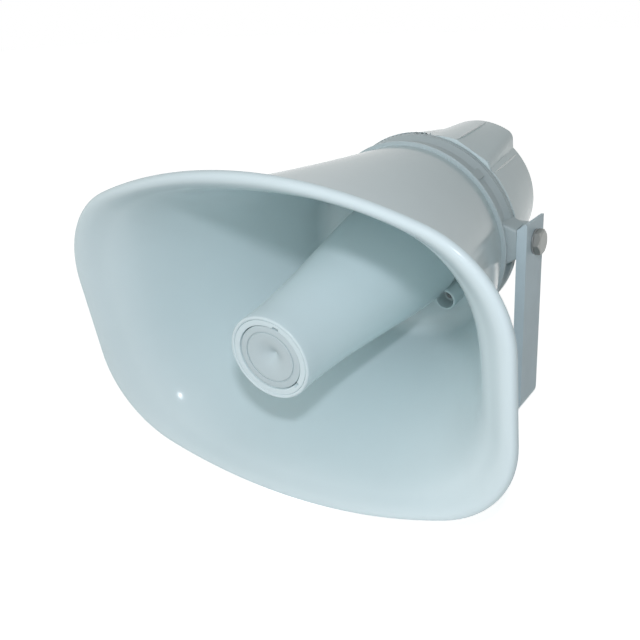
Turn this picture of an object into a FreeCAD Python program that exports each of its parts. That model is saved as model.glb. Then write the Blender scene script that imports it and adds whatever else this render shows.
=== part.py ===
import FreeCAD, Part
import math
import os

Vector = FreeCAD.Vector

# A re-entrant public-address horn in its channel bracket. Millimetres.
# Row frame: origin in the middle of the bracket's mounting face, +Z up along
# its arms, -Y the way the horn faces. Horn pieces are drawn in the horn frame:
# Y runs back along the horn's axis from the middle of its mouth, Z is up.

# Bell
MOUTH_WIDTH = 284.4
MOUTH_HEIGHT = 207.2
MOUTH_CORNER = 64.4           # radius of the mouth's corners
MOUTH_CROWN = 290.0           # radius of its top and bottom edges
BELL_LENGTH = 169.0           # mouth to the back face of the back plate
BELL_WALL = 2.2
BACK_PLATE = 4.0
NECK_BORE_RADIUS = 66.4
LIP_SIDE_FLARE = 22.2         # mouth's edge outside the straight walls, at the sides
LIP_TOP_FLARE = 14.5          # and at the top and bottom
LIP_FALL = 8.5                # depth in which the lip's flare falls to a third
LIP_AHEAD = 2.4               # rolled edge ahead of the mouth's plane
LIP_BEHIND = 2.2
LIP_ROUND = 3.2
WALL_SQUARENESS = 3.0         # power of the walls' superellipse at the mouth; 2 is an ellipse
ROUNDING_RATE = 2.2           # how fast the walls turn round towards the neck
OUTLINE_POINTS = 40           # points of one bell section

# Reflector and its cap
REFLECTOR_FRONT_RADIUS = 25.7
REFLECTOR_PROUD = 4.3         # how far it stands ahead of the mouth
REFLECTOR_GAP = 9.0           # its open rear to the bell's back plate
REFLECTOR_WALL = 2.4
REFLECTOR_SWELL = 34.6        # growth of its radius over the swell length
REFLECTOR_TAPER = 19.1        # cubic part that is taken off that growth
SWELL_LENGTH = 150.0
BEAD_WIDTH = 2.2
BEAD_HEIGHT = 0.5
CAP_SEAT_DEPTH = 9.3          # seat of the cap behind the front edge
SEAT_WALL = 2.5
CAP_RADIUS = 19.6
CAP_CLEARANCE = 0.5
CAP_RECESS = 2.7              # cap's ring behind the front edge
CAP_RING_WIDTH = 2.5
CAP_LINE_WIDTH = 0.5
CAP_DISH_DEPTH = 5.5
NOTCH_ANGLES = (68.0, -43.0)
NOTCH_WIDTH = 3.0
NOTCH_DEPTH = 1.6

# Screw bosses of the reflector
BOSS_CIRCLE_RADIUS = 46.0
BOSS_RADIUS = 7.2
BOSS_BORE_RADIUS = 5.3
BOSS_LENGTH = 18.5
BOSS_FLOOR = 4.0
BOSS_ANGLES = (45.0, 135.0, 225.0, 315.0)

# Throat tube
TUBE_FRONT = 24.0
TUBE_FRONT_RADIUS = 17.0
TUBE_REAR_RADIUS = 14.0
TUBE_WALL = 2.5
TUBE_FLANGE_RADIUS = 24.0
TUBE_FLANGE = 4.0
TUBE_FIT = 0.15

# Collar with its ears
COLLAR_LENGTH = 22.0
COLLAR_LIP_RADIUS = 70.5
COLLAR_LIP = 1.8
CHANNEL_RADIUS = 67.6
CHANNEL_WIDTH = 10.0
COLLAR_BAND_RADIUS = 69.7
COLLAR_BAND = 4.5
COLLAR_BORE_RADIUS = 62.5
COLLAR_GROOVE = 0.6
CHANNEL_BLOCK_WIDTH = 7.0
SCREW_POST_RADIUS = 5.0
SCREW_POST_LENGTH = 12.0
COVER_POST_CIRCLE = 43.0
COVER_POST_RADIUS = 4.2
COVER_POST_LENGTH = 60.0
COVER_POST_ANGLES = (20.0, 160.0, 200.0, 340.0)
EAR_ROOT = 60.0
EAR_ROOT_TOP = 20.0
EAR_ROOT_BOTTOM = -17.0
EAR_TIP_TOP = 13.0
EAR_TIP_BOTTOM = -8.0
EAR_SETBACK = 4.0             # ear's front face behind the collar's front
EAR_TIP_SETBACK = 6.0
EAR_BOSS_RADIUS = 13.0
EAR_BOSS_ROOT = 71.0
EAR_ROUND = 2.0
INSERT_RADIUS = 7.0
INSERT_LENGTH = 9.0
INSERT_FLOOR = 1.0
PIVOT_INSET = 0.5             # pivot's axis ahead of the collar's rear face

# Rear cover
COVER_LENGTH = 86.0           # collar's rear face to the cover's
COVER_REAR_RADIUS = 51.6
COVER_WALL = 3.0
COVER_ROUND = 5.0
HUMP_FRONT_RIDGE = (27.6, 66.5)
HUMP_FRONT_CORNER = (51.0, 51.8)
HUMP_FRONT_LEFT = (-12.0, 66.0)
HUMP_FRONT_CROWN = 2.4        # rise of the flank between ridge and left end
HUMP_REAR_CENTRE = (8.4, 9.6)
HUMP_REAR_RADIUS = 47.4
HUMP_REAR_SIDE = 35.9
HUMP_REAR_RIDGE = 14.5
HUMP_REAR_LEFT = -28.0
HUMP_ROUND = 8.0
HUMP_REAR_ROUND = 4.0
COVER_POST_TUBE = 5.6
COVER_POST_BORE = 3.9
COVER_POST_FLOOR = 4.0
COVER_SCREW_LENGTH = 26.0
PRY_SLOT_LENGTH = 7.0
PRY_SLOT_WIDTH = 1.6
PRY_SLOT_DEPTH = 1.4
SEAL_THICKNESS = 0.6
SEAL_INSET = 2.0
SEAL_WIDTH = 3.2

# Compression driver
GASKET_THICKNESS = 1.0
FRAME_FLANGE_RADIUS = 38.0
FRAME_FLANGE = 4.0
FRAME_BODY_RADIUS = 30.8
FRAME_LENGTH = 13.0
THROAT_RADIUS = 9.6
CHAMBER_RADIUS = 21.5
DRIVER_SCREW_CIRCLE = 34.4
PLUG_RADIUS = 19.5
PLUG_TIP_GAP = 2.5
PLUG_RIB = 2.0
DOME_RADIUS = 17.2
DOME_RISE = 4.6
DOME_SKIN = 0.35
DOME_FLANGE_RADIUS = 19.8
DOME_GAP = 0.45
SURROUND_INNER_RADIUS = 18.9
SURROUND_OUTER_RADIUS = 29.0
SURROUND_SKIN = 0.3
RING_THICKNESS = 1.4
RING_INNER_RADIUS = 25.0
COIL_INNER_RADIUS = 17.0
COIL_WALL = 1.0
COIL_LENGTH = 9.0
TOP_PLATE = 5.0
TOP_PLATE_RADIUS = 31.0
GAP_OUTER_RADIUS = 18.7
POLE_RADIUS = 16.4
MAGNET = 14.0
MAGNET_RADIUS = 32.5
MAGNET_BORE_RADIUS = 22.0
YOKE_PLATE = 5.0
YOKE_RADIUS = 30.0
POLE_VENT_RADIUS = 4.0

# Line transformer and terminals
CORE_WIDTH = 41.0
CORE_HEIGHT = 34.0
CORE_STACK = 15.0
CORE_LIMB = 13.0
CORE_WINDOW_WIDTH = 7.5
CORE_WINDOW_HEIGHT = 21.0
CORE_CENTRE_HEIGHT = 16.0
CORE_STANDOFF = 12.0          # core's rear face ahead of the cover's rear wall
COIL_REACH = 6.5
COIL_CLEARANCE = 0.3
CLAMP_SHEET = 1.2
CLAMP_WIDTH = 14.0
CLAMP_FOOT = 11.0
CLAMP_POST_RADIUS = 4.0
CLAMP_SCREW_LENGTH = 9.0
TERMINAL_WIDTH = 26.0
TERMINAL_HEIGHT = 10.0
TERMINAL_LENGTH = 12.0
TERMINAL_DROP = 20.0
TERMINAL_WAYS = 3
GLAND_DROP = 34.0
GLAND_RADIUS = 6.0
GLAND_HEAD_RADIUS = 8.5
GLAND_HEAD = 2.5
GLAND_BORE_RADIUS = 3.25
GLAND_GROOVE = 1.2

# Pivot bolts
BOLT_RADIUS = 5.0
BOLT_LENGTH = 11.0
BOLT_HEAD = 5.0
BOLT_ACROSS_FLATS = 17.0
WASHER_RADIUS = 9.5
WASHER = 1.2
BOLT_CLEARANCE = 0.05
SIDE_CLEARANCE = 0.3
WASHER_CLEARANCE = 0.1

# Bracket
BRACKET_HALF_WIDTH = 82.9     # outer faces of the arms
BRACKET_STRIP = 33.2
BRACKET_SHEET = 2.0
BRACKET_FLANGE = 7.0
BRACKET_BEND = 10.0
BRACKET_TOP = 15.3            # top of the arms above the pivot
BRACKET_TRIM = 5.0
PIVOT_HEIGHT = 126.1
REST_TILT = 6.9               # the horn's nose-down tilt
ARM_HOLE_CLEARANCE = 0.3
CENTRE_HOLE_RADIUS = 5.3
BASE_HOLE_RADIUS = 3.25
BASE_HOLE_SPACING = 70.0

# Small screws
SCREW_RADIUS = 2.0
SCREW_HEAD_RADIUS = 3.4
SCREW_HEAD = 2.6
SCREW_CLEARANCE = 0.15
SOCKET_WIDTH = 1.0
SOCKET_DEPTH = 1.2

AXIS = Vector(0, 1, 0)
ACROSS = Vector(1, 0, 0)

# Places that follow from the sizes
BELL_BORE_LENGTH = BELL_LENGTH - BACK_PLATE
WALL_SKIN = BELL_WALL * 0.78  # shift outward and back that sets the wall's thickness
LIP_CENTRE = LIP_ROUND - LIP_AHEAD
REFLECTOR_END = BELL_BORE_LENGTH - REFLECTOR_GAP
BOSS_FRONT = BELL_BORE_LENGTH - BOSS_LENGTH
COLLAR_END = BELL_LENGTH + COLLAR_LENGTH
PIVOT_DEPTH = COLLAR_END - PIVOT_INSET
COVER_END = COLLAR_END + COVER_LENGTH
WEB_FRONT = BELL_LENGTH
WEB_REAR = WEB_FRONT + TUBE_FLANGE
FRAME_FRONT = WEB_REAR + GASKET_THICKNESS
FRAME_REAR = FRAME_FRONT + FRAME_LENGTH
TOP_PLATE_FRONT = FRAME_REAR + RING_THICKNESS
TOP_PLATE_REAR = TOP_PLATE_FRONT + TOP_PLATE
MAGNET_REAR = TOP_PLATE_REAR + MAGNET
COVER_FRONT = COLLAR_END + SEAL_THICKNESS
COVER_FLOOR = COVER_END - COVER_WALL
CORE_REAR = COVER_FLOOR - CORE_STANDOFF
POST_END = WEB_REAR + COVER_POST_LENGTH
ARM_INNER_FACE = BRACKET_HALF_WIDTH - BRACKET_SHEET
EAR_END = ARM_INNER_FACE - SIDE_CLEARANCE
EAR_BLOCK_END = BRACKET_HALF_WIDTH - BRACKET_FLANGE - SIDE_CLEARANCE
HEAD_FACE = BRACKET_HALF_WIDTH + WASHER_CLEARANCE + WASHER


def rounded_outline(corners, lift=0.0):
    """Closed outline in the XY plane; a corner is (x, y) or (x, y, round)."""
    count = len(corners)
    runs = []
    for index, corner in enumerate(corners):
        here = Vector(corner[0], corner[1], lift)
        if len(corner) < 3:
            runs.append((here, None, here))
            continue
        before = corners[index - 1]
        after = corners[(index + 1) % count]
        back = (Vector(before[0], before[1], lift) - here).normalize()
        ahead = (Vector(after[0], after[1], lift) - here).normalize()
        half = back.getAngle(ahead) / 2
        run = corner[2] / math.tan(half)
        inward = (back + ahead).normalize()
        middle = here + inward * (corner[2] / math.sin(half) - corner[2])
        runs.append((here + back * run, middle, here + ahead * run))
    edges = []
    for index, (start, middle, end) in enumerate(runs):
        if middle is not None:
            edges.append(Part.Arc(start, middle, end).toShape())
        next_start = runs[(index + 1) % count][0]
        if end.distanceToPoint(next_start) > 1e-6:
            edges.append(Part.LineSegment(end, next_start).toShape())
    return Part.Wire(edges)


def turned(corners):
    """Solid of revolution about the horn's axis from (radius, depth) corners."""
    return turned_face(Part.Face(rounded_outline(corners)))


def turned_face(face):
    """Solid of revolution about the horn's axis from a face in the XY plane."""
    return face.revolve(Vector(0, 0, 0), AXIS, 360)


def drum(radius, front, rear, x=0.0, z=0.0):
    """Cylinder along the horn's axis."""
    return Part.makeCylinder(radius, rear - front, Vector(x, front, z), AXIS)


def tube(outer, inner, front, rear):
    """Round tube along the horn's axis."""
    return drum(outer, front, rear).cut(drum(inner, front - 1, rear + 1))


def polar(radius, angle):
    """X and Z of a point on a circle round the horn's axis."""
    turn = math.radians(angle)
    return radius * math.cos(turn), radius * math.sin(turn)


def ring_of(maker, radius, angles):
    """One shape for each angle, placed by maker(x, z, angle)."""
    return [maker(*polar(radius, angle), angle) for angle in angles]


def axial_screw(x, z, head_face, tip, back=1):
    """Pan-head screw along the axis; back=1 has its head at the rear."""
    head = drum(SCREW_HEAD_RADIUS, 0, SCREW_HEAD)
    head = head.makeFillet(SCREW_HEAD * 0.4, [head.Edges[0]])
    socket = Part.makeBox(SCREW_HEAD_RADIUS * 1.2, SOCKET_DEPTH, SOCKET_WIDTH,
                          Vector(-SCREW_HEAD_RADIUS * 0.6, SCREW_HEAD - SOCKET_DEPTH, -SOCKET_WIDTH / 2))
    cross = socket.copy()
    cross.rotate(Vector(0, 0, 0), AXIS, 90)
    shank = drum(SCREW_RADIUS, -abs(tip - head_face), 0)
    screw = head.fuse(shank).cut(socket).cut(cross)
    if back < 0:
        screw.rotate(Vector(0, 0, 0), Vector(0, 0, 1), 180)
    screw.translate(Vector(x, head_face, z))
    return screw.removeSplitter()


# Bell

def mouth_radius(turn):
    """Distance from the axis to the mouth's edge: sides, round corners, crowned top."""
    across, up = abs(math.cos(turn)), abs(math.sin(turn))
    corner_x = MOUTH_WIDTH / 2 - MOUTH_CORNER
    crown_z = MOUTH_HEIGHT / 2 - MOUTH_CROWN
    corner_z = crown_z + math.sqrt((MOUTH_CROWN - MOUTH_CORNER) ** 2 - corner_x ** 2)
    if up * MOUTH_WIDTH / 2 <= across * corner_z:
        return MOUTH_WIDTH / 2 / across
    reach = up * crown_z
    radius = reach + math.sqrt(reach ** 2 + MOUTH_CROWN ** 2 - crown_z ** 2)
    if radius * across <= MOUTH_CROWN * corner_x / (MOUTH_CROWN - MOUTH_CORNER):
        return radius
    reach = across * corner_x + up * corner_z
    return reach + math.sqrt(reach ** 2 + MOUTH_CORNER ** 2 - corner_x ** 2 - corner_z ** 2)


def wall_radius(turn, depth, grow=0.0):
    """Distance from the axis to the straight wall, square at the mouth and round at the neck."""
    share = 1 - depth / BELL_BORE_LENGTH
    width = NECK_BORE_RADIUS + (MOUTH_WIDTH / 2 - LIP_SIDE_FLARE - NECK_BORE_RADIUS) * share + grow
    height = NECK_BORE_RADIUS + (MOUTH_HEIGHT / 2 - LIP_TOP_FLARE - NECK_BORE_RADIUS) * share + grow
    power = 2 + (WALL_SQUARENESS - 2) * max(share, 0.0) ** ROUNDING_RATE
    across = abs(math.cos(turn) / width) ** power
    up = abs(math.sin(turn) / height) ** power
    return (across + up) ** (-1 / power)


def bore_radius(turn, depth, grow=0.0):
    """The wall with the lip that flares out to the inside of the rolled edge."""
    lip = mouth_radius(turn) - 2 * LIP_ROUND - wall_radius(turn, LIP_CENTRE)
    return wall_radius(turn, depth, grow) + lip * math.exp((LIP_CENTRE - depth) / LIP_FALL)


def outline(radius_at, depth):
    """Closed smooth wire at a depth from the radius at each turn."""
    points = []
    for step in range(OUTLINE_POINTS):
        turn = 2 * math.pi * step / OUTLINE_POINTS
        radius = radius_at(turn)
        points.append(Vector(radius * math.cos(turn), depth, radius * math.sin(turn)))
    curve = Part.BSplineCurve()
    curve.interpolate(points, PeriodicFlag=True)
    return Part.Wire(curve.toShape())


def bore_section(depth, skin=0.0):
    """Bell section at a depth: of the bore, or of the outside a skin's shift away."""
    return outline(lambda turn: bore_radius(turn, depth - skin, skin), depth)


def loft(sections):
    """Smooth solid through sections."""
    return Part.makeLoft(sections, True, False, False, 3)


def make_bell():
    """Moulded bell: rolled edge, flared lip, neck and back plate."""
    stations = [LIP_CENTRE + s for s in (0.0, 1.5, 3.5, 6.0, 10.0, 16.0, 26.0, 42.0, 66.0, 100.0, 133.0)]
    bore = loft([bore_section(s) for s in stations + [BELL_BORE_LENGTH]])
    root = outline(lambda turn: bore_radius(turn, 0, WALL_SKIN), LIP_CENTRE / 2)
    outside = loft([root] + [bore_section(s + WALL_SKIN, WALL_SKIN) for s in stations]
                   + [bore_section(BELL_LENGTH, WALL_SKIN)])
    edge = Part.Face(outline(mouth_radius, -LIP_AHEAD)).extrude(AXIS * (LIP_AHEAD + LIP_BEHIND))
    edge = edge.makeFillet(LIP_ROUND * 0.98, [nearest_edge(edge, -LIP_AHEAD)])
    edge = edge.makeFillet(LIP_BEHIND * 0.6, [nearest_edge(edge, LIP_BEHIND)])
    opening = Part.Face(bore_section(LIP_CENTRE)).extrude(AXIS * -(LIP_CENTRE + LIP_AHEAD + 1))
    through = Part.Face(bore_section(LIP_CENTRE)).extrude(AXIS * (LIP_BEHIND + 1))
    edge = edge.cut([opening, through])
    edge = edge.makeFillet(LIP_ROUND * 0.75, [inner_edge(edge, -LIP_AHEAD)])
    bell = outside.fuse(edge).cut([bore, opening])
    bell = bell.cut(drum(TUBE_REAR_RADIUS + TUBE_FIT, BELL_BORE_LENGTH - 1, BELL_LENGTH + 1))
    holes = ring_of(lambda x, z, angle: drum(SCREW_RADIUS + SCREW_CLEARANCE, BELL_BORE_LENGTH - 1,
                                             BELL_LENGTH + 1, x, z), BOSS_CIRCLE_RADIUS, BOSS_ANGLES)
    return bell.cut(holes)


def inner_edge(shape, depth):
    """The smallest closed edge that lies flat at a depth."""
    flat = [edge for edge in shape.Edges
            if edge.BoundBox.YLength < 0.01 and abs(edge.BoundBox.YMin - depth) < 0.01]
    return min(flat, key=lambda edge: edge.BoundBox.XLength)


def nearest_edge(shape, depth):
    """The edge whose centre lies nearest a depth."""
    return min(shape.Edges, key=lambda edge: abs(edge.BoundBox.Center.y - depth)
               + edge.BoundBox.YLength)


# Reflector

def reflector_radius(depth):
    """Outer radius of the reflector at a depth behind the mouth."""
    share = (depth + REFLECTOR_PROUD) / SWELL_LENGTH
    return REFLECTOR_FRONT_RADIUS + REFLECTOR_SWELL * share ** 2 - REFLECTOR_TAPER * share ** 3


def spline_edge(points):
    """Smooth edge through points in the XY plane."""
    curve = Part.BSplineCurve()
    curve.interpolate([Vector(x, y, 0) for x, y in points])
    return curve.toShape()


def line_edges(points):
    """Straight edges through points in the XY plane."""
    places = [Vector(x, y, 0) for x, y in points]
    return [Part.LineSegment(a, b).toShape() for a, b in zip(places, places[1:])]


def make_reflector():
    """Bullet-shaped reflector with its recessed seat and four open bosses."""
    front = -REFLECTOR_PROUD
    seat = front + CAP_SEAT_DEPTH
    ring = front + BEAD_HEIGHT
    steps = 7
    side_start = front + BEAD_WIDTH / 2
    span = REFLECTOR_END - side_start
    depths = [side_start + span * step / (steps - 1) for step in range(steps)]
    outer = [(reflector_radius(depth), depth) for depth in depths]
    inner_start = seat + SEAT_WALL
    inner_span = REFLECTOR_END - inner_start
    inner_depths = [REFLECTOR_END - inner_span * step / (steps - 1) for step in range(steps)]
    inner = [(reflector_radius(depth) - REFLECTOR_WALL, depth) for depth in inner_depths]
    recess = CAP_RADIUS + CAP_CLEARANCE
    bead_outer = Vector(outer[0][0], side_start, 0)
    bead_inner = Vector(outer[0][0] - BEAD_WIDTH, side_start, 0)
    bead_top = Vector(outer[0][0] - BEAD_WIDTH / 2, front, 0)
    edges = [Part.Arc(bead_inner, bead_top, bead_outer).toShape(), spline_edge(outer)]
    edges += line_edges([outer[-1], inner[0]])
    edges.append(spline_edge(inner))
    edges += line_edges([inner[-1], (0, inner_start), (0, seat), (recess, seat), (recess, ring),
                         (bead_inner.x, ring), (bead_inner.x, bead_inner.y)])
    body = turned_face(Part.Face(Part.Wire(edges)))
    for x, z in [polar(BOSS_CIRCLE_RADIUS, angle) for angle in BOSS_ANGLES]:
        body = body.fuse(drum(BOSS_RADIUS, BOSS_FRONT, BELL_BORE_LENGTH, x, z))
    for x, z in [polar(BOSS_CIRCLE_RADIUS, angle) for angle in BOSS_ANGLES]:
        body = body.cut(drum(BOSS_BORE_RADIUS, BOSS_FRONT, BELL_BORE_LENGTH - BOSS_FLOOR, x, z))
        body = body.cut(drum(SCREW_RADIUS + SCREW_CLEARANCE, BOSS_FRONT, BELL_LENGTH, x, z))
    for angle in NOTCH_ANGLES:
        notch = Part.makeBox(NOTCH_WIDTH, NOTCH_DEPTH, NOTCH_WIDTH,
                             Vector(recess - NOTCH_WIDTH / 2, ring - 0.01, -NOTCH_WIDTH / 2))
        notch.rotate(Vector(0, 0, 0), AXIS, -angle)
        body = body.cut(notch)
    return body


def make_reflector_cap():
    """Round cap with a ring, a fine line and a dish that falls to a point."""
    face = -REFLECTOR_PROUD + CAP_RECESS
    seat = -REFLECTOR_PROUD + CAP_SEAT_DEPTH
    ring_inner = CAP_RADIUS - CAP_RING_WIDTH
    dish_rim = ring_inner - CAP_LINE_WIDTH
    dish_radius = (dish_rim ** 2 + CAP_DISH_DEPTH ** 2) / (2 * CAP_DISH_DEPTH)
    dish = [(x, face + dish_radius - math.sqrt(dish_radius ** 2 - (dish_rim - x) ** 2))
            for x in (dish_rim, dish_rim * 0.75, dish_rim * 0.5, dish_rim * 0.25, 0)]
    edges = line_edges([(0, face + CAP_DISH_DEPTH), (0, seat), (CAP_RADIUS, seat), (CAP_RADIUS, face),
                        (ring_inner, face), (ring_inner, face + CAP_LINE_WIDTH),
                        (dish_rim, face + CAP_LINE_WIDTH), (dish_rim, face)])
    edges.append(spline_edge(dish))
    return turned_face(Part.Face(Part.Wire(edges)))


def make_throat_tube():
    """Centre tube, wider at its open front, with a flange behind the bell."""
    flange_front = BELL_LENGTH
    return turned([
        (TUBE_REAR_RADIUS, flange_front), (TUBE_REAR_RADIUS, BELL_BORE_LENGTH - TUBE_WALL),
        (TUBE_FRONT_RADIUS, TUBE_FRONT, TUBE_WALL * 0.45),
        (TUBE_FRONT_RADIUS - TUBE_WALL, TUBE_FRONT, TUBE_WALL * 0.45),
        (THROAT_RADIUS, WEB_REAR), (TUBE_FLANGE_RADIUS, WEB_REAR), (TUBE_FLANGE_RADIUS, flange_front)])


def make_reflector_screws():
    """Four screws from the bosses' floors into the collar's posts."""
    head_face = BELL_BORE_LENGTH - BOSS_FLOOR
    return Part.Compound(ring_of(lambda x, z, angle: axial_screw(
        x, z, head_face, WEB_REAR + SCREW_POST_LENGTH / 2, -1), BOSS_CIRCLE_RADIUS, BOSS_ANGLES))


# Collar

def make_ear(side):
    """One ear: a tapered block from the ring, ending in a round pivot boss."""
    def frame(x, top, bottom, front, rear):
        corners = [(front, bottom), (rear, bottom), (rear, top), (front, top)]
        places = [Vector(side * x, y, z) for y, z in corners]
        return Part.Wire([Part.LineSegment(a, b).toShape()
                          for a, b in zip(places, places[1:] + places[:1])])
    front = BELL_LENGTH + EAR_SETBACK
    root = frame(EAR_ROOT, EAR_ROOT_TOP, EAR_ROOT_BOTTOM, front, COLLAR_END)
    tip = frame(EAR_BLOCK_END, EAR_TIP_TOP, EAR_TIP_BOTTOM, BELL_LENGTH + EAR_TIP_SETBACK, COLLAR_END)
    block = Part.makeLoft([root, tip], True, True)
    long_edges = [edge for edge in block.Edges if edge.BoundBox.XLength > EAR_BLOCK_END - EAR_ROOT - 1]
    block = block.makeFillet(EAR_ROUND, long_edges)
    start = Vector(side * EAR_BOSS_ROOT, PIVOT_DEPTH, 0)
    boss = Part.makeCylinder(EAR_BOSS_RADIUS, EAR_END - EAR_BOSS_ROOT, start, ACROSS * side)
    return block.fuse(boss)


def channel_block(x, z, angle):
    """Small block that bridges the collar's channel."""
    depth = COLLAR_LIP + CHANNEL_WIDTH
    block = Part.makeBox(COLLAR_BAND_RADIUS - CHANNEL_RADIUS + 3, depth, CHANNEL_BLOCK_WIDTH,
                         Vector(CHANNEL_RADIUS - 3, BELL_LENGTH, -CHANNEL_BLOCK_WIDTH / 2))
    block.rotate(Vector(0, 0, 0), AXIS, -angle)
    return block


def make_collar():
    """Ring behind the bell: lip, channel, band, web, screw posts and ears."""
    lip_rear = BELL_LENGTH + COLLAR_LIP
    channel_rear = lip_rear + CHANNEL_WIDTH
    band_front = COLLAR_END - COLLAR_BAND
    groove = band_front + COLLAR_GROOVE * 2
    ring = turned([
        (TUBE_FLANGE_RADIUS + TUBE_FIT, WEB_FRONT), (COLLAR_LIP_RADIUS, WEB_FRONT, 0.5),
        (COLLAR_LIP_RADIUS, lip_rear, 0.5), (CHANNEL_RADIUS, lip_rear + 0.8), (CHANNEL_RADIUS, channel_rear),
        (COLLAR_BAND_RADIUS, band_front), (COLLAR_BAND_RADIUS, groove),
        (COLLAR_BAND_RADIUS - COLLAR_GROOVE, groove),
        (COLLAR_BAND_RADIUS - COLLAR_GROOVE, groove + COLLAR_GROOVE),
        (COLLAR_BAND_RADIUS, groove + COLLAR_GROOVE), (COLLAR_BAND_RADIUS, COLLAR_END, 0.4),
        (COLLAR_BORE_RADIUS, COLLAR_END), (COLLAR_BORE_RADIUS, WEB_REAR),
        (TUBE_FLANGE_RADIUS + TUBE_FIT, WEB_REAR)])
    posts = ring_of(lambda x, z, angle: drum(SCREW_POST_RADIUS, WEB_FRONT + 1, WEB_REAR + SCREW_POST_LENGTH,
                                             x, z), BOSS_CIRCLE_RADIUS, BOSS_ANGLES)
    posts += ring_of(lambda x, z, angle: drum(COVER_POST_RADIUS, WEB_FRONT + 1, POST_END, x, z),
                     COVER_POST_CIRCLE, COVER_POST_ANGLES)
    blocks = ring_of(channel_block, 0, BOSS_ANGLES)
    collar = ring.fuse(posts + blocks + [make_ear(1), make_ear(-1)])
    bores = ring_of(lambda x, z, angle: drum(SCREW_RADIUS + SCREW_CLEARANCE, WEB_FRONT - 1,
                                             WEB_REAR + SCREW_POST_LENGTH * 0.75, x, z),
                    BOSS_CIRCLE_RADIUS, BOSS_ANGLES)
    bores += ring_of(lambda x, z, angle: drum(SCREW_RADIUS + SCREW_CLEARANCE, POST_END - COVER_SCREW_LENGTH,
                                              POST_END + 1, x, z), COVER_POST_CIRCLE, COVER_POST_ANGLES)
    bores += ring_of(lambda x, z, angle: drum(SCREW_RADIUS + SCREW_CLEARANCE, WEB_FRONT - 1, WEB_REAR + 1,
                                              x, z), DRIVER_SCREW_CIRCLE, driver_angles())
    for side in (1, -1):
        start = Vector(side * (EAR_END - INSERT_LENGTH), PIVOT_DEPTH, 0)
        bores.append(Part.makeCylinder(INSERT_RADIUS, INSERT_LENGTH + 5, start, ACROSS * side))
    return collar.cut(bores)


def make_ear_inserts():
    """Two threaded brass inserts in the ears."""
    inserts = []
    for side in (1, -1):
        start = Vector(side * (EAR_END - INSERT_LENGTH), PIVOT_DEPTH, 0)
        insert = Part.makeCylinder(INSERT_RADIUS, INSERT_LENGTH, start, ACROSS * side)
        bore = Part.makeCylinder(BOLT_RADIUS + BOLT_CLEARANCE, INSERT_LENGTH,
                                 start + ACROSS * side * INSERT_FLOOR, ACROSS * side)
        inserts.append(insert.cut(bore))
    return Part.Compound(inserts)


def make_pivot_bolts():
    """Two hex bolts, their heads chamfered as turned."""
    bolts = []
    for side in (1, -1):
        corner = BOLT_ACROSS_FLATS / math.sqrt(3)
        points = [Vector(0, corner * math.cos(math.radians(60 * k)),
                         corner * math.sin(math.radians(60 * k))) for k in range(7)]
        head = Part.Face(Part.makePolygon(points)).extrude(ACROSS * BOLT_HEAD)
        flat = BOLT_ACROSS_FLATS / 2
        cone = Part.makeCone(flat + BOLT_HEAD * 1.6, flat * 0.96, BOLT_HEAD, Vector(0, 0, 0), ACROSS)
        head = head.common(cone)
        shank = Part.makeCylinder(BOLT_RADIUS, BOLT_LENGTH, Vector(-BOLT_LENGTH, 0, 0), ACROSS)
        bolt = head.fuse(shank)
        if side < 0:
            bolt.rotate(Vector(0, 0, 0), Vector(0, 0, 1), 180)
        bolt.translate(Vector(side * HEAD_FACE, PIVOT_DEPTH, 0))
        bolts.append(bolt)
    return Part.Compound(bolts)


def make_pivot_washers():
    """Two plain washers between bolt heads and arms."""
    washers = []
    for side in (1, -1):
        start = Vector(side * (BRACKET_HALF_WIDTH + WASHER_CLEARANCE), PIVOT_DEPTH, 0)
        disc = Part.makeCylinder(WASHER_RADIUS, WASHER, start, ACROSS * side)
        hole = Part.makeCylinder(BOLT_RADIUS + BOLT_CLEARANCE, WASHER, start, ACROSS * side)
        washers.append(disc.cut(hole))
    return Part.Compound(washers)


# Rear cover

def cone_radius(depth):
    """Outer radius of the cover's round wall at a depth."""
    share = (depth - COLLAR_END) / (COVER_END - COLLAR_END)
    return COLLAR_BAND_RADIUS + (COVER_REAR_RADIUS - COLLAR_BAND_RADIUS) * share


def hump_front_wire(depth, inset):
    """Front section of the hump: flat band, ridge and a low flank to the left."""
    ridge = Vector(HUMP_FRONT_RIDGE[0], HUMP_FRONT_RIDGE[1], 0)
    corner = Vector(HUMP_FRONT_CORNER[0], HUMP_FRONT_CORNER[1], 0)
    left = Vector(HUMP_FRONT_LEFT[0], HUMP_FRONT_LEFT[1] - inset, 0)
    band = (corner - ridge).normalize()
    ridge = ridge + Vector(-inset * 0.3, -inset * 1.05, 0)
    corner = ridge + band * ((corner.x - inset - ridge.x) / band.x)
    bend = HUMP_ROUND - inset
    half = Vector(0, -1, 0).getAngle(band * -1) / 2
    run = bend / math.tan(half)
    inward = (Vector(0, -1, 0) - band).normalize()
    side_top = corner - Vector(0, run, 0)
    middle = corner + inward * (bend / math.sin(half) - bend)
    across = (left - ridge).normalize()
    crown = (left + ridge) * 0.5 + Vector(across.y, -across.x, 0) * HUMP_FRONT_CROWN
    return section_of_edges([(Vector(corner.x, 0, 0), side_top), (side_top, middle, corner - band * run),
                             (corner - band * run, ridge), (ridge, crown, left),
                             (left, Vector(left.x, 0, 0)), (Vector(left.x, 0, 0), Vector(corner.x, 0, 0))],
                            depth)


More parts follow.
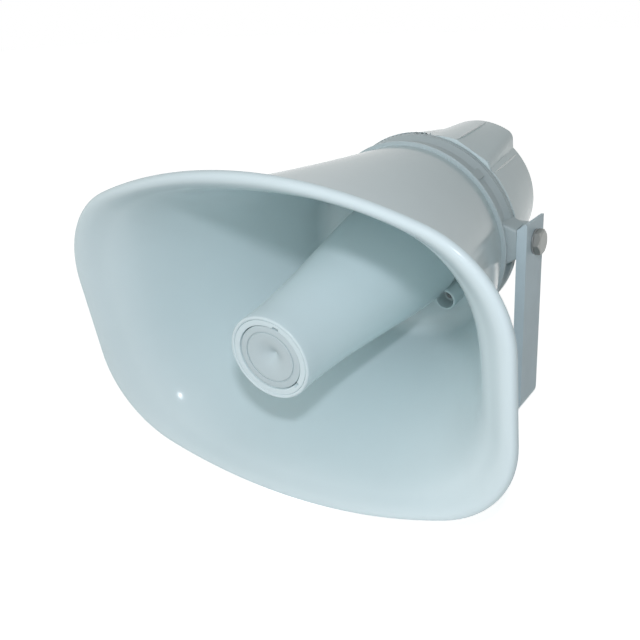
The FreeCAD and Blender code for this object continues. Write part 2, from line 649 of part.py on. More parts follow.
def hump_rear_wire(depth, inset):
    """Rear section of the hump: upright right side, round corner, crowned top."""
    centre = HUMP_REAR_CENTRE
    radius = HUMP_REAR_RADIUS - inset
    right = HUMP_REAR_SIDE - inset
    bend = HUMP_ROUND - inset

    def crown(x):
        return Vector(x, centre[1] + math.sqrt(radius ** 2 - (x - centre[0]) ** 2), 0)
    bend_x = right - bend
    bend_z = centre[1] + math.sqrt((radius - bend) ** 2 - (bend_x - centre[0]) ** 2)
    turn = math.atan2(bend_z - centre[1], bend_x - centre[0])
    side_top = Vector(right, bend_z, 0)
    middle = Vector(bend_x + bend * math.cos(turn / 2), bend_z + bend * math.sin(turn / 2), 0)
    band_start = crown(centre[0] + radius * math.cos(turn))
    ridge = crown(HUMP_REAR_RIDGE)
    left = crown(HUMP_REAR_LEFT)
    return section_of_edges([(Vector(right, 0, 0), side_top), (side_top, middle, band_start),
                             (band_start, crown((band_start.x + ridge.x) / 2), ridge),
                             (ridge, crown((ridge.x + left.x) / 2), left),
                             (left, Vector(left.x, 0, 0)), (Vector(left.x, 0, 0), Vector(right, 0, 0))],
                            depth)


def section_of_edges(runs, depth):
    """Wire at a depth from lines (two points) and arcs (three), given as (x, z)."""
    edges = []
    for run in runs:
        places = [Vector(point.x, depth, point.y) for point in run]
        edges.append(Part.Arc(*places).toShape() if len(places) == 3
                     else Part.LineSegment(*places).toShape())
    return Part.Wire(edges)


def hump(front, rear, inset):
    """Hump as a loft between a front and a rear section."""
    return Part.makeLoft([hump_front_wire(front, inset), hump_rear_wire(rear, inset)], True, True)


def make_cover():
    """Drum-shaped cover with its hump, screw recesses, posts and gland hole."""
    outside = turned([(0, COVER_FRONT), (cone_radius(COVER_FRONT), COVER_FRONT, 0.4),
                      (COVER_REAR_RADIUS, COVER_END, COVER_ROUND), (0, COVER_END)])
    raised = hump(COVER_FRONT, COVER_END - 1, 0)
    rear_edges = [edge for edge in raised.Edges if edge.BoundBox.YLength < 0.1
                  and edge.BoundBox.YMin > COVER_END - 2 and edge.BoundBox.ZMax > 25
                  and edge.BoundBox.ZMin > 1]
    raised = raised.makeFillet(HUMP_REAR_ROUND, rear_edges)
    inside = turned([(0, COVER_FRONT - 1), (cone_radius(COVER_FRONT) - COVER_WALL, COVER_FRONT - 1),
                     (COVER_REAR_RADIUS - COVER_WALL, COVER_FLOOR, COVER_ROUND - 2), (0, COVER_FLOOR)])
    pocket = hump(COVER_FRONT - 0.01, COVER_FLOOR - 1, COVER_WALL)
    cover = outside.fuse(raised).cut(inside.fuse(pocket))
    posts = ring_of(lambda x, z, angle: drum(COVER_POST_TUBE, POST_END, COVER_END - 1, x, z),
                    COVER_POST_CIRCLE, COVER_POST_ANGLES)
    posts += [drum(CLAMP_POST_RADIUS, CORE_REAR, COVER_END - 1, side * clamp_foot_x(), CORE_CENTRE_HEIGHT)
              for side in (1, -1)]
    cover = cover.fuse(posts)
    holes = ring_of(lambda x, z, angle: drum(COVER_POST_BORE, POST_END + COVER_POST_FLOOR, COVER_END + 1,
                                             x, z), COVER_POST_CIRCLE, COVER_POST_ANGLES)
    holes += ring_of(lambda x, z, angle: drum(SCREW_RADIUS + SCREW_CLEARANCE, POST_END - 1, COVER_END, x, z),
                     COVER_POST_CIRCLE, COVER_POST_ANGLES)
    holes += [drum(SCREW_RADIUS + SCREW_CLEARANCE, CORE_REAR - 1, CORE_REAR + CLAMP_SCREW_LENGTH,
                   side * clamp_foot_x(), CORE_CENTRE_HEIGHT) for side in (1, -1)]
    holes.append(drum(GLAND_RADIUS, COVER_FLOOR - 1, COVER_END + 1, 0, -GLAND_DROP))
    holes += ring_of(pry_slot, 0, BOSS_ANGLES)
    return cover.cut(holes)


def pry_slot(x, z, angle):
    """Slot in the cover's front edge for prising it off."""
    slot = Part.makeBox(PRY_SLOT_DEPTH * 3, PRY_SLOT_WIDTH, PRY_SLOT_LENGTH,
                        Vector(cone_radius(COVER_FRONT) - PRY_SLOT_DEPTH, COVER_FRONT + 1,
                               -PRY_SLOT_LENGTH / 2))
    slot.rotate(Vector(0, 0, 0), AXIS, -angle)
    return slot


def make_cover_seal():
    """Rubber ring between the collar and the cover."""
    outer = COLLAR_BAND_RADIUS - SEAL_INSET
    return tube(outer, outer - SEAL_WIDTH, COLLAR_END, COVER_FRONT)


def make_cover_screws():
    """Four screws at the bottom of the cover's recesses."""
    head_face = POST_END + COVER_POST_FLOOR
    tip = head_face - COVER_SCREW_LENGTH
    return Part.Compound(ring_of(lambda x, z, angle: axial_screw(x, z, head_face, tip),
                                 COVER_POST_CIRCLE, COVER_POST_ANGLES))


def make_cable_gland():
    """Rubber gland with a head outside and a lip inside the rear wall."""
    lip_front = COVER_FLOOR - GLAND_HEAD * 0.6
    head = turned([(GLAND_BORE_RADIUS, lip_front), (GLAND_HEAD_RADIUS * 0.88, lip_front),
                   (GLAND_HEAD_RADIUS * 0.88, COVER_FLOOR), (GLAND_RADIUS, COVER_FLOOR),
                   (GLAND_RADIUS, COVER_END), (GLAND_HEAD_RADIUS, COVER_END),
                   (GLAND_HEAD_RADIUS, COVER_END + GLAND_HEAD, GLAND_GROOVE),
                   (GLAND_BORE_RADIUS, COVER_END + GLAND_HEAD)])
    head.translate(Vector(0, 0, -GLAND_DROP))
    return head


# Compression driver

def driver_angles():
    """Angles of the four driver screws, between the reflector's bosses."""
    return [angle - 45 for angle in BOSS_ANGLES]


def make_driver_gasket():
    """Fibre gasket between the collar's web and the driver."""
    ring = tube(FRAME_FLANGE_RADIUS, THROAT_RADIUS, WEB_REAR, FRAME_FRONT)
    return ring.cut(ring_of(lambda x, z, angle: drum(SCREW_RADIUS + SCREW_CLEARANCE, WEB_REAR - 1,
                                                     FRAME_FRONT + 1, x, z),
                            DRIVER_SCREW_CIRCLE, driver_angles()))


def make_driver_frame():
    """Front casting with its flange, throat and compression chamber."""
    flange_rear = FRAME_FRONT + FRAME_FLANGE
    body = turned([
        (THROAT_RADIUS, FRAME_FRONT), (FRAME_FLANGE_RADIUS, FRAME_FRONT),
        (FRAME_FLANGE_RADIUS, flange_rear, 0.8), (FRAME_BODY_RADIUS, flange_rear),
        (FRAME_BODY_RADIUS, FRAME_REAR),
        (CHAMBER_RADIUS, FRAME_REAR), (CHAMBER_RADIUS, FRAME_REAR - 4)])
    return body.cut(ring_of(lambda x, z, angle: drum(SCREW_RADIUS + SCREW_CLEARANCE, FRAME_FRONT - 1,
                                                     flange_rear + 1, x, z),
                            DRIVER_SCREW_CIRCLE, driver_angles()))


def dome_sphere():
    """Radius of the sphere that the dome's front face lies on."""
    return (DOME_RADIUS ** 2 + DOME_RISE ** 2) / (2 * DOME_RISE)


def dome_face_depth(radius, offset=0.0):
    """Depth of a face parallel to the dome's front, which bulges towards the throat."""
    sphere = dome_sphere()
    return dome_base_depth() - (math.sqrt((sphere + offset) ** 2 - radius ** 2) - (sphere - DOME_RISE))


def dome_base_depth():
    """Depth of the dome's flat flange."""
    return FRAME_REAR + SURROUND_SKIN + DOME_GAP


def make_phase_plug():
    """Plug whose rear face follows the dome, held by three ribs."""
    edge = FRAME_REAR - 4
    gap = 1.0
    centre_rear = dome_face_depth(0, gap)
    edge_rear = dome_face_depth(DOME_RADIUS, gap)
    half_rear = dome_face_depth(DOME_RADIUS / 2, gap)
    rear_arc = Part.Arc(Vector(0, centre_rear, 0), Vector(DOME_RADIUS / 2, half_rear, 0),
                        Vector(DOME_RADIUS, edge_rear, 0)).toShape()
    edges = [rear_arc] + line_edges([(DOME_RADIUS, edge_rear), (PLUG_RADIUS, edge_rear), (PLUG_RADIUS, edge),
                                     (0, FRAME_FRONT + PLUG_TIP_GAP), (0, centre_rear)])
    plug = turned_face(Part.Face(Part.Wire(edges)))
    for angle in (90, 210, 330):
        rib = Part.makeBox(CHAMBER_RADIUS - PLUG_RADIUS + 3, 3, PLUG_RIB,
                           Vector(PLUG_RADIUS - 3, edge, -PLUG_RIB / 2))
        rib.rotate(Vector(0, 0, 0), AXIS, -angle)
        plug = plug.fuse(rib.common(drum(CHAMBER_RADIUS, edge - 1, edge + 9)))
    return plug


def make_driver_screws():
    """Four screws through the frame's flange into the collar's web."""
    return Part.Compound(ring_of(lambda x, z, angle: axial_screw(
        x, z, FRAME_FRONT + FRAME_FLANGE, WEB_FRONT + 0.5), DRIVER_SCREW_CIRCLE, driver_angles()))


def make_diaphragm_ring():
    """Ring that clamps the surround to the frame."""
    return tube(TOP_PLATE_RADIUS, RING_INNER_RADIUS, FRAME_REAR + SURROUND_SKIN, TOP_PLATE_FRONT)


def make_surround():
    """Thin flexible ring between the clamping ring and the dome."""
    return tube(SURROUND_OUTER_RADIUS, SURROUND_INNER_RADIUS, FRAME_REAR, FRAME_REAR + SURROUND_SKIN)


def make_diaphragm():
    """Dome with a narrow flat flange."""
    base = dome_base_depth()
    outer_arc = Part.Arc(Vector(0, dome_face_depth(0), 0),
                         Vector(DOME_RADIUS / 2, dome_face_depth(DOME_RADIUS / 2), 0),
                         Vector(DOME_RADIUS, base, 0)).toShape()
    sphere = dome_sphere()
    inner_radius = math.sqrt((sphere - DOME_SKIN) ** 2 - (sphere - DOME_RISE - DOME_SKIN) ** 2)
    inner_arc = Part.Arc(Vector(inner_radius, base + DOME_SKIN, 0),
                         Vector(inner_radius / 2, dome_face_depth(inner_radius / 2, -DOME_SKIN), 0),
                         Vector(0, dome_face_depth(0, -DOME_SKIN), 0)).toShape()
    edges = [outer_arc] + line_edges([(DOME_RADIUS, base), (DOME_FLANGE_RADIUS, base),
                                      (DOME_FLANGE_RADIUS, base + DOME_SKIN),
                                      (inner_radius, base + DOME_SKIN)])
    edges.append(inner_arc)
    edges += line_edges([(0, dome_face_depth(0, -DOME_SKIN)), (0, dome_face_depth(0))])
    return turned_face(Part.Face(Part.Wire(edges)))


def make_voice_coil():
    """Coil on its former, in the magnet's gap."""
    front = dome_base_depth() + DOME_SKIN
    return tube(COIL_INNER_RADIUS + COIL_WALL, COIL_INNER_RADIUS, front, front + COIL_LENGTH)


def make_top_plate():
    """Front pole plate."""
    return tube(TOP_PLATE_RADIUS, GAP_OUTER_RADIUS, TOP_PLATE_FRONT, TOP_PLATE_REAR)


def make_magnet():
    """Ferrite ring with softened corners."""
    ease = 1.0
    return turned([(MAGNET_BORE_RADIUS, TOP_PLATE_REAR), (MAGNET_RADIUS, TOP_PLATE_REAR, ease),
                   (MAGNET_RADIUS, MAGNET_REAR, ease), (MAGNET_BORE_RADIUS, MAGNET_REAR)])


def make_yoke():
    """Back plate with its vented pole piece."""
    pole_front = TOP_PLATE_FRONT + 0.3
    return turned([(POLE_VENT_RADIUS, pole_front), (POLE_RADIUS, pole_front), (POLE_RADIUS, MAGNET_REAR),
                   (YOKE_RADIUS, MAGNET_REAR), (YOKE_RADIUS, MAGNET_REAR + YOKE_PLATE, 1.5),
                   (POLE_VENT_RADIUS, MAGNET_REAR + YOKE_PLATE)])


# Line transformer and terminals

def clamp_foot_x():
    """Place of the clamp's screws to each side."""
    return CORE_WIDTH / 2 + CLAMP_SHEET + CLAMP_FOOT / 2


def centred_box(width, length, height, x, y, z):
    """Box about a centre: width along X, length along Y, height along Z."""
    return Part.makeBox(width, length, height, Vector(x - width / 2, y - length / 2, z - height / 2))


def make_core():
    """Laminated core with its two windows."""
    centre = CORE_REAR - CORE_HEIGHT / 2
    core = centred_box(CORE_WIDTH, CORE_HEIGHT, CORE_STACK, 0, centre, CORE_CENTRE_HEIGHT)
    window_x = (CORE_LIMB + CORE_WINDOW_WIDTH) / 2
    for side in (1, -1):
        core = core.cut(centred_box(CORE_WINDOW_WIDTH, CORE_WINDOW_HEIGHT, CORE_STACK + 2,
                                    side * window_x, centre, CORE_CENTRE_HEIGHT))
    return core


def make_transformer_coil():
    """Winding round the centre limb, with rounded long corners."""
    centre = CORE_REAR - CORE_HEIGHT / 2
    width = CORE_LIMB + 2 * (CORE_WINDOW_WIDTH - COIL_CLEARANCE)
    length = CORE_WINDOW_HEIGHT - 2 * COIL_CLEARANCE
    height = CORE_STACK + 2 * COIL_REACH
    coil = centred_box(width, length, height, 0, centre, CORE_CENTRE_HEIGHT)
    corners = [edge for edge in coil.Edges if edge.BoundBox.YLength > length - 1]
    coil = coil.makeFillet(COIL_REACH * 0.6, corners)
    return coil.cut(centred_box(CORE_LIMB + 2 * COIL_CLEARANCE, length + 2, CORE_STACK + 2 * COIL_CLEARANCE,
                                0, centre, CORE_CENTRE_HEIGHT))


def make_clamp():
    """Steel strap round the core's front and sides, with two feet at the rear."""
    half = CORE_WIDTH / 2
    outer = half + CLAMP_SHEET
    front = CORE_REAR - CORE_HEIGHT
    foot = outer + CLAMP_FOOT
    outline = rounded_outline([
        (-foot, CORE_REAR), (-foot, CORE_REAR - CLAMP_SHEET), (-outer, CORE_REAR - CLAMP_SHEET),
        (-outer, front - CLAMP_SHEET, 1.5), (outer, front - CLAMP_SHEET, 1.5),
        (outer, CORE_REAR - CLAMP_SHEET), (foot, CORE_REAR - CLAMP_SHEET), (foot, CORE_REAR),
        (half, CORE_REAR), (half, front),
        (-half, front), (-half, CORE_REAR)])
    strap = Part.Face(outline).extrude(Vector(0, 0, CLAMP_WIDTH))
    strap.translate(Vector(0, 0, CORE_CENTRE_HEIGHT - CLAMP_WIDTH / 2))
    return strap.cut([drum(SCREW_RADIUS + SCREW_CLEARANCE, front, CORE_REAR + 1, side * clamp_foot_x(),
                           CORE_CENTRE_HEIGHT) for side in (1, -1)])


def make_transformer_screws():
    """Two screws through the clamp's feet into the cover's posts."""
    head_face = CORE_REAR - CLAMP_SHEET
    return Part.Compound([axial_screw(side * clamp_foot_x(), CORE_CENTRE_HEIGHT, head_face,
                                      head_face + CLAMP_SCREW_LENGTH, -1) for side in (1, -1)])


def make_terminal_block():
    """Terminal block on the cover's rear wall, with its wire and screw holes."""
    middle = COVER_FLOOR - TERMINAL_LENGTH / 2
    block = centred_box(TERMINAL_WIDTH, TERMINAL_LENGTH, TERMINAL_HEIGHT, 0, middle, -TERMINAL_DROP)
    pitch = TERMINAL_WIDTH / TERMINAL_WAYS
    for way in range(TERMINAL_WAYS):
        x = (way - (TERMINAL_WAYS - 1) / 2) * pitch
        screw_hole = Part.makeCylinder(2.2, 4, Vector(x, middle, -TERMINAL_DROP + TERMINAL_HEIGHT / 2 - 4),
                                       Vector(0, 0, 1))
        wire_hole = drum(1.6, middle - TERMINAL_LENGTH / 2, middle, x, -TERMINAL_DROP - 1.5)
        block = block.cut([screw_hole, wire_hole])
    return block


# Bracket

def channel_path(inset, reach_top):
    """U outline in the XZ plane at an inset from the bracket's outer face."""
    half = BRACKET_HALF_WIDTH - inset
    bend = max(BRACKET_BEND - inset, 1.0)
    return half, inset, bend, PIVOT_HEIGHT + BRACKET_TOP + reach_top


def u_solid(outer_inset, inner_inset, width, over_top=0.0):
    """U-shaped bar along Y between two insets from the outer face."""
    out_half, out_low, out_bend, top = channel_path(outer_inset, over_top)
    in_half, in_low, in_bend, top = channel_path(inner_inset, over_top)
    outline = rounded_outline([
        (-out_half, top), (-out_half, out_low, out_bend), (out_half, out_low, out_bend), (out_half, top),
        (in_half, top), (in_half, in_low, in_bend), (-in_half, in_low, in_bend), (-in_half, top)])
    bar = Part.Face(outline).extrude(Vector(0, 0, width))
    bar.rotate(Vector(0, 0, 0), ACROSS, 90)
    bar.translate(Vector(0, width / 2, 0))
    return bar


def make_bracket():
    """Pressed channel bracket: web outside, a flange along each edge."""
    bar = u_solid(0, BRACKET_FLANGE, BRACKET_STRIP)
    pocket = u_solid(BRACKET_SHEET, BRACKET_FLANGE + 1, BRACKET_STRIP - 2 * BRACKET_SHEET, 1)
    bracket = bar.cut(pocket)
    top = PIVOT_HEIGHT + BRACKET_TOP
    for side in (1, -1):
        inner = side * (BRACKET_HALF_WIDTH - BRACKET_FLANGE - 1)
        web = side * ARM_INNER_FACE
        corners = [Vector(web, 0, top + 1), Vector(inner, 0, top + 1), Vector(inner, 0, top - BRACKET_TRIM),
                   Vector(web, 0, top)]
        wedge = Part.Face(Part.makePolygon(corners + corners[:1])).extrude(AXIS * BRACKET_STRIP)
        wedge.translate(Vector(0, -BRACKET_STRIP / 2, 0))
        bracket = bracket.cut(wedge)
        hole = Part.makeCylinder(BOLT_RADIUS + ARM_HOLE_CLEARANCE, BRACKET_FLANGE,
                                 Vector(side * (ARM_INNER_FACE - 1), 0, PIVOT_HEIGHT), ACROSS * side)
        bracket = bracket.cut(hole)
    up = Vector(0, 0, 1)
    holes = [Part.makeCylinder(CENTRE_HOLE_RADIUS, BRACKET_SHEET + 2, Vector(0, 0, -1), up)]
    holes += [Part.makeCylinder(BASE_HOLE_RADIUS, BRACKET_SHEET + 2,
                                Vector(side * BASE_HOLE_SPACING / 2, 0, -1), up) for side in (1, -1)]
    return bracket.cut(holes)


def seat_in_bracket(shape):
    """Horn frame to row frame: onto the pivot, tilted nose-down."""
    placed = shape.copy()
    placed.translate(Vector(0, -PIVOT_DEPTH, 0))
    placed.rotate(Vector(0, 0, 0), ACROSS, REST_TILT)
    placed.translate(Vector(0, 0, PIVOT_HEIGHT))
    return placed


HORN_PIECES = {
    "horn_bell": make_bell,
    "reflector": make_reflector,
    "reflector_cap": make_reflector_cap,
    "throat_tube": make_throat_tube,
    "reflector_screws": make_reflector_screws,
    "mounting_collar": make_collar,
    "ear_inserts": make_ear_inserts,
    "pivot_bolts": make_pivot_bolts,
    "pivot_washers": make_pivot_washers,
    "cover_seal": make_cover_seal,
    "rear_cover": make_cover,
    "cover_screws": make_cover_screws,
    "cable_gland": make_cable_gland,
    "driver_gasket": make_driver_gasket,
    "driver_frame": make_driver_frame,
    "phase_plug": make_phase_plug,
    "driver_screws": make_driver_screws,
    "diaphragm_ring": make_diaphragm_ring,
    "surround": make_surround,
    "diaphragm": make_diaphragm,
    "voice_coil": make_voice_coil,
    "top_plate": make_top_plate,
    "magnet": make_magnet,
    "yoke": make_yoke,
    "transformer_core": make_core,
    "transformer_coil": make_transformer_coil,
    "transformer_clamp": make_clamp,
    "transformer_screws": make_transformer_screws,
    "terminal_block": make_terminal_block,
}


def main():
    """Build every piece and write it."""
    os.makedirs("parts", exist_ok=True)
    for name, maker in HORN_PIECES.items():
        seat_in_bracket(maker()).exportStep(f"parts/{name}.step")
    make_bracket().exportStep("parts/bracket.step")


main()
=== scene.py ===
import logging
import math
from dataclasses import dataclass, field
from enum import Enum
from typing import Any, Callable, Sequence

import bpy
from mathutils import Matrix, Vector


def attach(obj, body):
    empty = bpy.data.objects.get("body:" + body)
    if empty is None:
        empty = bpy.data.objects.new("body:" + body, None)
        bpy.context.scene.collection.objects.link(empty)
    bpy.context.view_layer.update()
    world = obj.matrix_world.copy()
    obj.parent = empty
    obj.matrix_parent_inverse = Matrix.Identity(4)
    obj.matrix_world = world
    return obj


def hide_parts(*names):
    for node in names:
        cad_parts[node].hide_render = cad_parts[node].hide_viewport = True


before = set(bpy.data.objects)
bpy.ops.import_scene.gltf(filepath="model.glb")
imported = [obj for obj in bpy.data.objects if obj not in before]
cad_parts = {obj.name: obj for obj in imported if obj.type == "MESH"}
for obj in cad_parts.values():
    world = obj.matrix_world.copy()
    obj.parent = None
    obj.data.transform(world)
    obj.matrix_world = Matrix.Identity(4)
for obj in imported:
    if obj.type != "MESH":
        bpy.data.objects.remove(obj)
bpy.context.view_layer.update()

LOG = logging.getLogger("horn_speaker")
MM = 0.001
PIN_HOLE = 0.01     # least radius of a turned ring, in millimetres
Ring = list[Vector]
Colour = tuple[float, float, float]
Place = tuple[float, float, float]
SHEEN = 0.14        # specular level of plastic and coat, which reflect the white backdrop
WAVE_PERIOD = 0.314  # metres between the bands of a wave texture at scale 1


class Signal:
    """A shader socket that takes part in Python sums."""

    def __init__(self, bench: "Bench", socket: bpy.types.NodeSocket) -> None:
        """Keep the socket and the bench that adds its nodes."""
        self.bench = bench
        self.socket = socket

    def combine(self, operation: str, other: Any) -> "Signal":
        """Add one Math node whose first socket is this signal.

        Args:
            operation: The Math node's operation.
            other: Number or signal for the second socket.

        Returns:
            The node's value.
        """
        return self.bench.add("ShaderNodeMath", {"operation": operation}, {0: self, 1: other}).out("Value")

    def __add__(self, other: Any) -> "Signal":
        """Sum with a number or signal."""
        return self.combine("ADD", other)

    __radd__ = __add__

    def __mul__(self, other: Any) -> "Signal":
        """Product with a number or signal."""
        return self.combine("MULTIPLY", other)

    __rmul__ = __mul__

    def __pow__(self, power: float) -> "Signal":
        """Power of the signal."""
        return self.combine("POWER", power)

    def __rpow__(self, base: float) -> "Signal":
        """A number to the power of the signal."""
        return self.bench.add("ShaderNodeMath", {"operation": "POWER"}, {0: base, 1: self}).out("Value")

    def larger(self, other: Any) -> "Signal":
        """The larger of this and another value."""
        return self.combine("MAXIMUM", other)

    def ramp(self, low: float, high: float) -> "Signal":
        """Smooth step of the signal.

        Args:
            low: Input where the step starts from 0.
            high: Input where it reaches 1.

        Returns:
            The stepped signal.
        """
        settings = {"interpolation_type": "SMOOTHSTEP"}
        sockets = {"Value": self, "From Min": low, "From Max": high}
        return self.bench.add("ShaderNodeMapRange", settings, sockets).out("Result")


class Placed:
    """A node that has been added, with its outputs at hand."""

    def __init__(self, bench: "Bench", node: bpy.types.Node) -> None:
        """Keep the node and its bench."""
        self.bench = bench
        self.node = node

    def out(self, name: str | int = 0) -> Signal:
        """One output of the node as a signal."""
        return Signal(self.bench, self.node.outputs[name])


class Bench:
    """The node tree of one material, with one way to add any node."""

    def __init__(self, tree: bpy.types.NodeTree) -> None:
        """Start on an empty tree."""
        self.tree = tree
        tree.nodes.clear()

    def add(self, kind: str, settings: dict[str, Any] | None = None,
            sockets: dict[str | int, Any] | None = None) -> Placed:
        """Add a node.

        Args:
            kind: The node's type.
            settings: Properties of the node, set first.
            sockets: Values or signals for its inputs.

        Returns:
            The added node.
        """
        node = self.tree.nodes.new(kind)
        for name, value in (settings or {}).items():
            setattr(node, name, value)
        for name, value in (sockets or {}).items():
            if isinstance(value, Signal):
                self.tree.links.new(value.socket, node.inputs[name])
            else:
                node.inputs[name].default_value = value
        return Placed(self, node)

    def where(self) -> Signal:
        """Position on the piece in its own metres."""
        return self.add("ShaderNodeTexCoord").out("Object")

    def stretched(self, scale: tuple[float, float, float]) -> Signal:
        """Position scaled unevenly, for marks that run one way."""
        return self.add("ShaderNodeMapping", None, {"Vector": self.where(), "Scale": scale}).out("Vector")

    def noise(self, scale: float, detail: float = 3.0, roughness: float = 0.5,
              at: Signal | None = None) -> Signal:
        """Fractal noise.

        Args:
            scale: Cells per metre.
            detail: Number of octaves.
            roughness: Weight of the fine octaves.
            at: Position to read, the piece's own by default.

        Returns:
            Noise from 0 to 1.
        """
        sockets = {"Vector": at or self.where(), "Scale": scale, "Detail": detail, "Roughness": roughness}
        return self.add("ShaderNodeTexNoise", None, sockets).out("Fac")

    def blend(self, share: Signal, first: Any, second: Any) -> Signal:
        """Mix two colours by a share.

        Args:
            share: 0 gives the first colour and 1 the second.
            first: Colour or signal.
            second: Colour or signal.

        Returns:
            The mixed colour.
        """
        def full(value: Any) -> Any:
            """A colour with its alpha."""
            return value if isinstance(value, Signal) else (*value, 1.0)

        sockets = {0: share, 6: full(first), 7: full(second)}
        return self.add("ShaderNodeMix", {"data_type": "RGBA"}, sockets).out(2)

    def bump(self, height: Signal, depth: float, strength: float = 1.0) -> Signal:
        """Normal from a height, with the depth in metres."""
        sockets = {"Height": height, "Distance": depth, "Strength": strength}
        return self.add("ShaderNodeBump", None, sockets).out("Normal")

    def surface(self, sockets: dict[str | int, Any]) -> None:
        """End the tree in a principled surface with these sockets."""
        shader = self.add("ShaderNodeBsdfPrincipled", None, sockets)
        self.add("ShaderNodeOutputMaterial", None, {"Surface": shader.out("BSDF")})


def linear(red: int, green: int, blue: int) -> Colour:
    """Scene-linear colour from screen values.

    Args:
        red: Red from 0 to 255.
        green: Green from 0 to 255.
        blue: Blue from 0 to 255.

    Returns:
        The colour.
    """
    def one(value: int) -> float:
        """One channel."""
        share = value / 255
        return share / 12.92 if share <= 0.04045 else ((share + 0.055) / 1.055) ** 2.4

    return one(red), one(green), one(blue)


def shade(colour: Colour, factor: float) -> Colour:
    """A colour made lighter or darker."""
    return tuple(min(1.0, channel * factor) for channel in colour)


@dataclass(frozen=True)
class Finish:
    """A surface finish; each kind writes its own nodes.

    Scales are cells per metre and depths are metres.
    """

    name: str
    colour: Colour

    def material(self) -> bpy.types.Material:
        """The finish as a material, made once.

        Returns:
            The material.
        """
        ready = bpy.data.materials.get(self.name)
        if ready is not None:
            return ready
        made = bpy.data.materials.new(self.name)
        made.use_nodes = True
        made.diffuse_color = (*self.colour, 1.0)
        self.write(Bench(made.node_tree))
        return made

    def write(self, bench: Bench) -> None:
        """Write the finish's nodes.

        Args:
            bench: The material's empty tree.
        """
        raise NotImplementedError


@dataclass(frozen=True)
class GlossPlastic(Finish):
    """Injection-moulded plastic with a clear gloss and a faint orange peel."""

    gloss: float = 0.2
    cloud_scale: float = 14.0
    flow_scale: float = 60.0
    peel_scale: float = 420.0
    peel_depth: float = 0.00003

    def write(self, bench: Bench) -> None:
        """Write the nodes.

        Args:
            bench: The material's empty tree.
        """
        cloud = bench.noise(self.cloud_scale, 4.0, 0.55)
        flow = bench.noise(self.flow_scale, 3.0, 0.5, bench.stretched((1.0, 0.25, 1.0)))
        tone = bench.blend(cloud, shade(self.colour, 0.955), shade(self.colour, 1.03))
        rough = self.gloss + 0.05 * cloud + 0.03 * flow
        peel = bench.noise(self.peel_scale, 2.0, 0.4)
        bench.surface({"Base Color": tone, "Roughness": rough, "Specular IOR Level": SHEEN,
                       "Normal": bench.bump(peel, self.peel_depth, 0.3)})


@dataclass(frozen=True)
class PowderCoat(Finish):
    """Powder coat on steel, a little duller than the mouldings."""

    cloud_scale: float = 30.0
    pit_scale: float = 900.0
    pit_depth: float = 0.00009

    def write(self, bench: Bench) -> None:
        """Write the nodes.

        Args:
            bench: The material's empty tree.
        """
        cloud = bench.noise(self.cloud_scale, 4.0, 0.6)
        pits = bench.noise(self.pit_scale, 3.0, 0.6)
        tone = bench.blend(cloud.ramp(0.3, 0.75), shade(self.colour, 0.96), shade(self.colour, 1.03))
        rough = 0.30 + 0.12 * pits
        bench.surface({"Base Color": tone, "Roughness": rough, "Specular IOR Level": SHEEN,
                       "Normal": bench.bump(pits + 0.5 * cloud, self.pit_depth, 0.5)})


@dataclass(frozen=True)
class PlatedSteel(Finish):
    """Turned or pressed steel with a thin plating and handling marks."""

    roughness: float = 0.32
    tarnish: float = 0.35
    tarnish_scale: float = 260.0
    turning_scale: float = 700.0
    turning_depth: float = 0.00004

    def write(self, bench: Bench) -> None:
        """Write the nodes.

        Args:
            bench: The material's empty tree.
        """
        cloud = bench.noise(self.tarnish_scale, 5.0, 0.65)
        turned = bench.noise(self.turning_scale, 2.0, 0.5, bench.stretched((0.2, 1.0, 1.0)))
        dark = bench.blend(cloud.ramp(0.42, 0.72), self.colour, shade(self.colour, 1.0 - self.tarnish))
        rough = self.roughness + 0.22 * cloud + 0.08 * turned
        bench.surface({"Base Color": dark, "Metallic": 1.0, "Roughness": rough,
                       "Normal": bench.bump(turned + cloud, self.turning_depth, 0.5)})


@dataclass(frozen=True)
class SoftRubber(Finish):
    """Black moulded rubber with a dusty bloom."""

    bloom_scale: float = 180.0
    grain_scale: float = 1400.0
    grain_depth: float = 0.00006

    def write(self, bench: Bench) -> None:
        """Write the nodes.

        Args:
            bench: The material's empty tree.
        """
        bloom = bench.noise(self.bloom_scale, 5.0, 0.65)
        tone = bench.blend(bloom.ramp(0.45, 0.8), self.colour, shade(self.colour, 1.7))
        grain = bench.noise(self.grain_scale, 3.0)
        bench.surface({"Base Color": tone, "Roughness": 0.62 + 0.2 * bloom,
                       "Normal": bench.bump(grain, self.grain_depth, 0.5)})


@dataclass(frozen=True)
class DullPlastic(Finish):
    """Matt moulded plastic, also film, fibre and ferrite."""

    roughness: float = 0.5
    fleck: float = 0.12
    fibre_scale: float = 600.0
    fibre_depth: float = 0.00005

    def write(self, bench: Bench) -> None:
        """Write the nodes.

        Args:
            bench: The material's empty tree.
        """
        fibres = bench.noise(self.fibre_scale, 4.0, 0.7, bench.stretched((1.0, 0.35, 1.0)))
        tone = bench.blend(fibres.ramp(0.35, 0.75), shade(self.colour, 1.0 - self.fleck),
                           shade(self.colour, 1.0 + self.fleck))
        bench.surface({"Base Color": tone, "Roughness": self.roughness + 0.12 * fibres,
                       "Normal": bench.bump(fibres, self.fibre_depth, 0.4)})


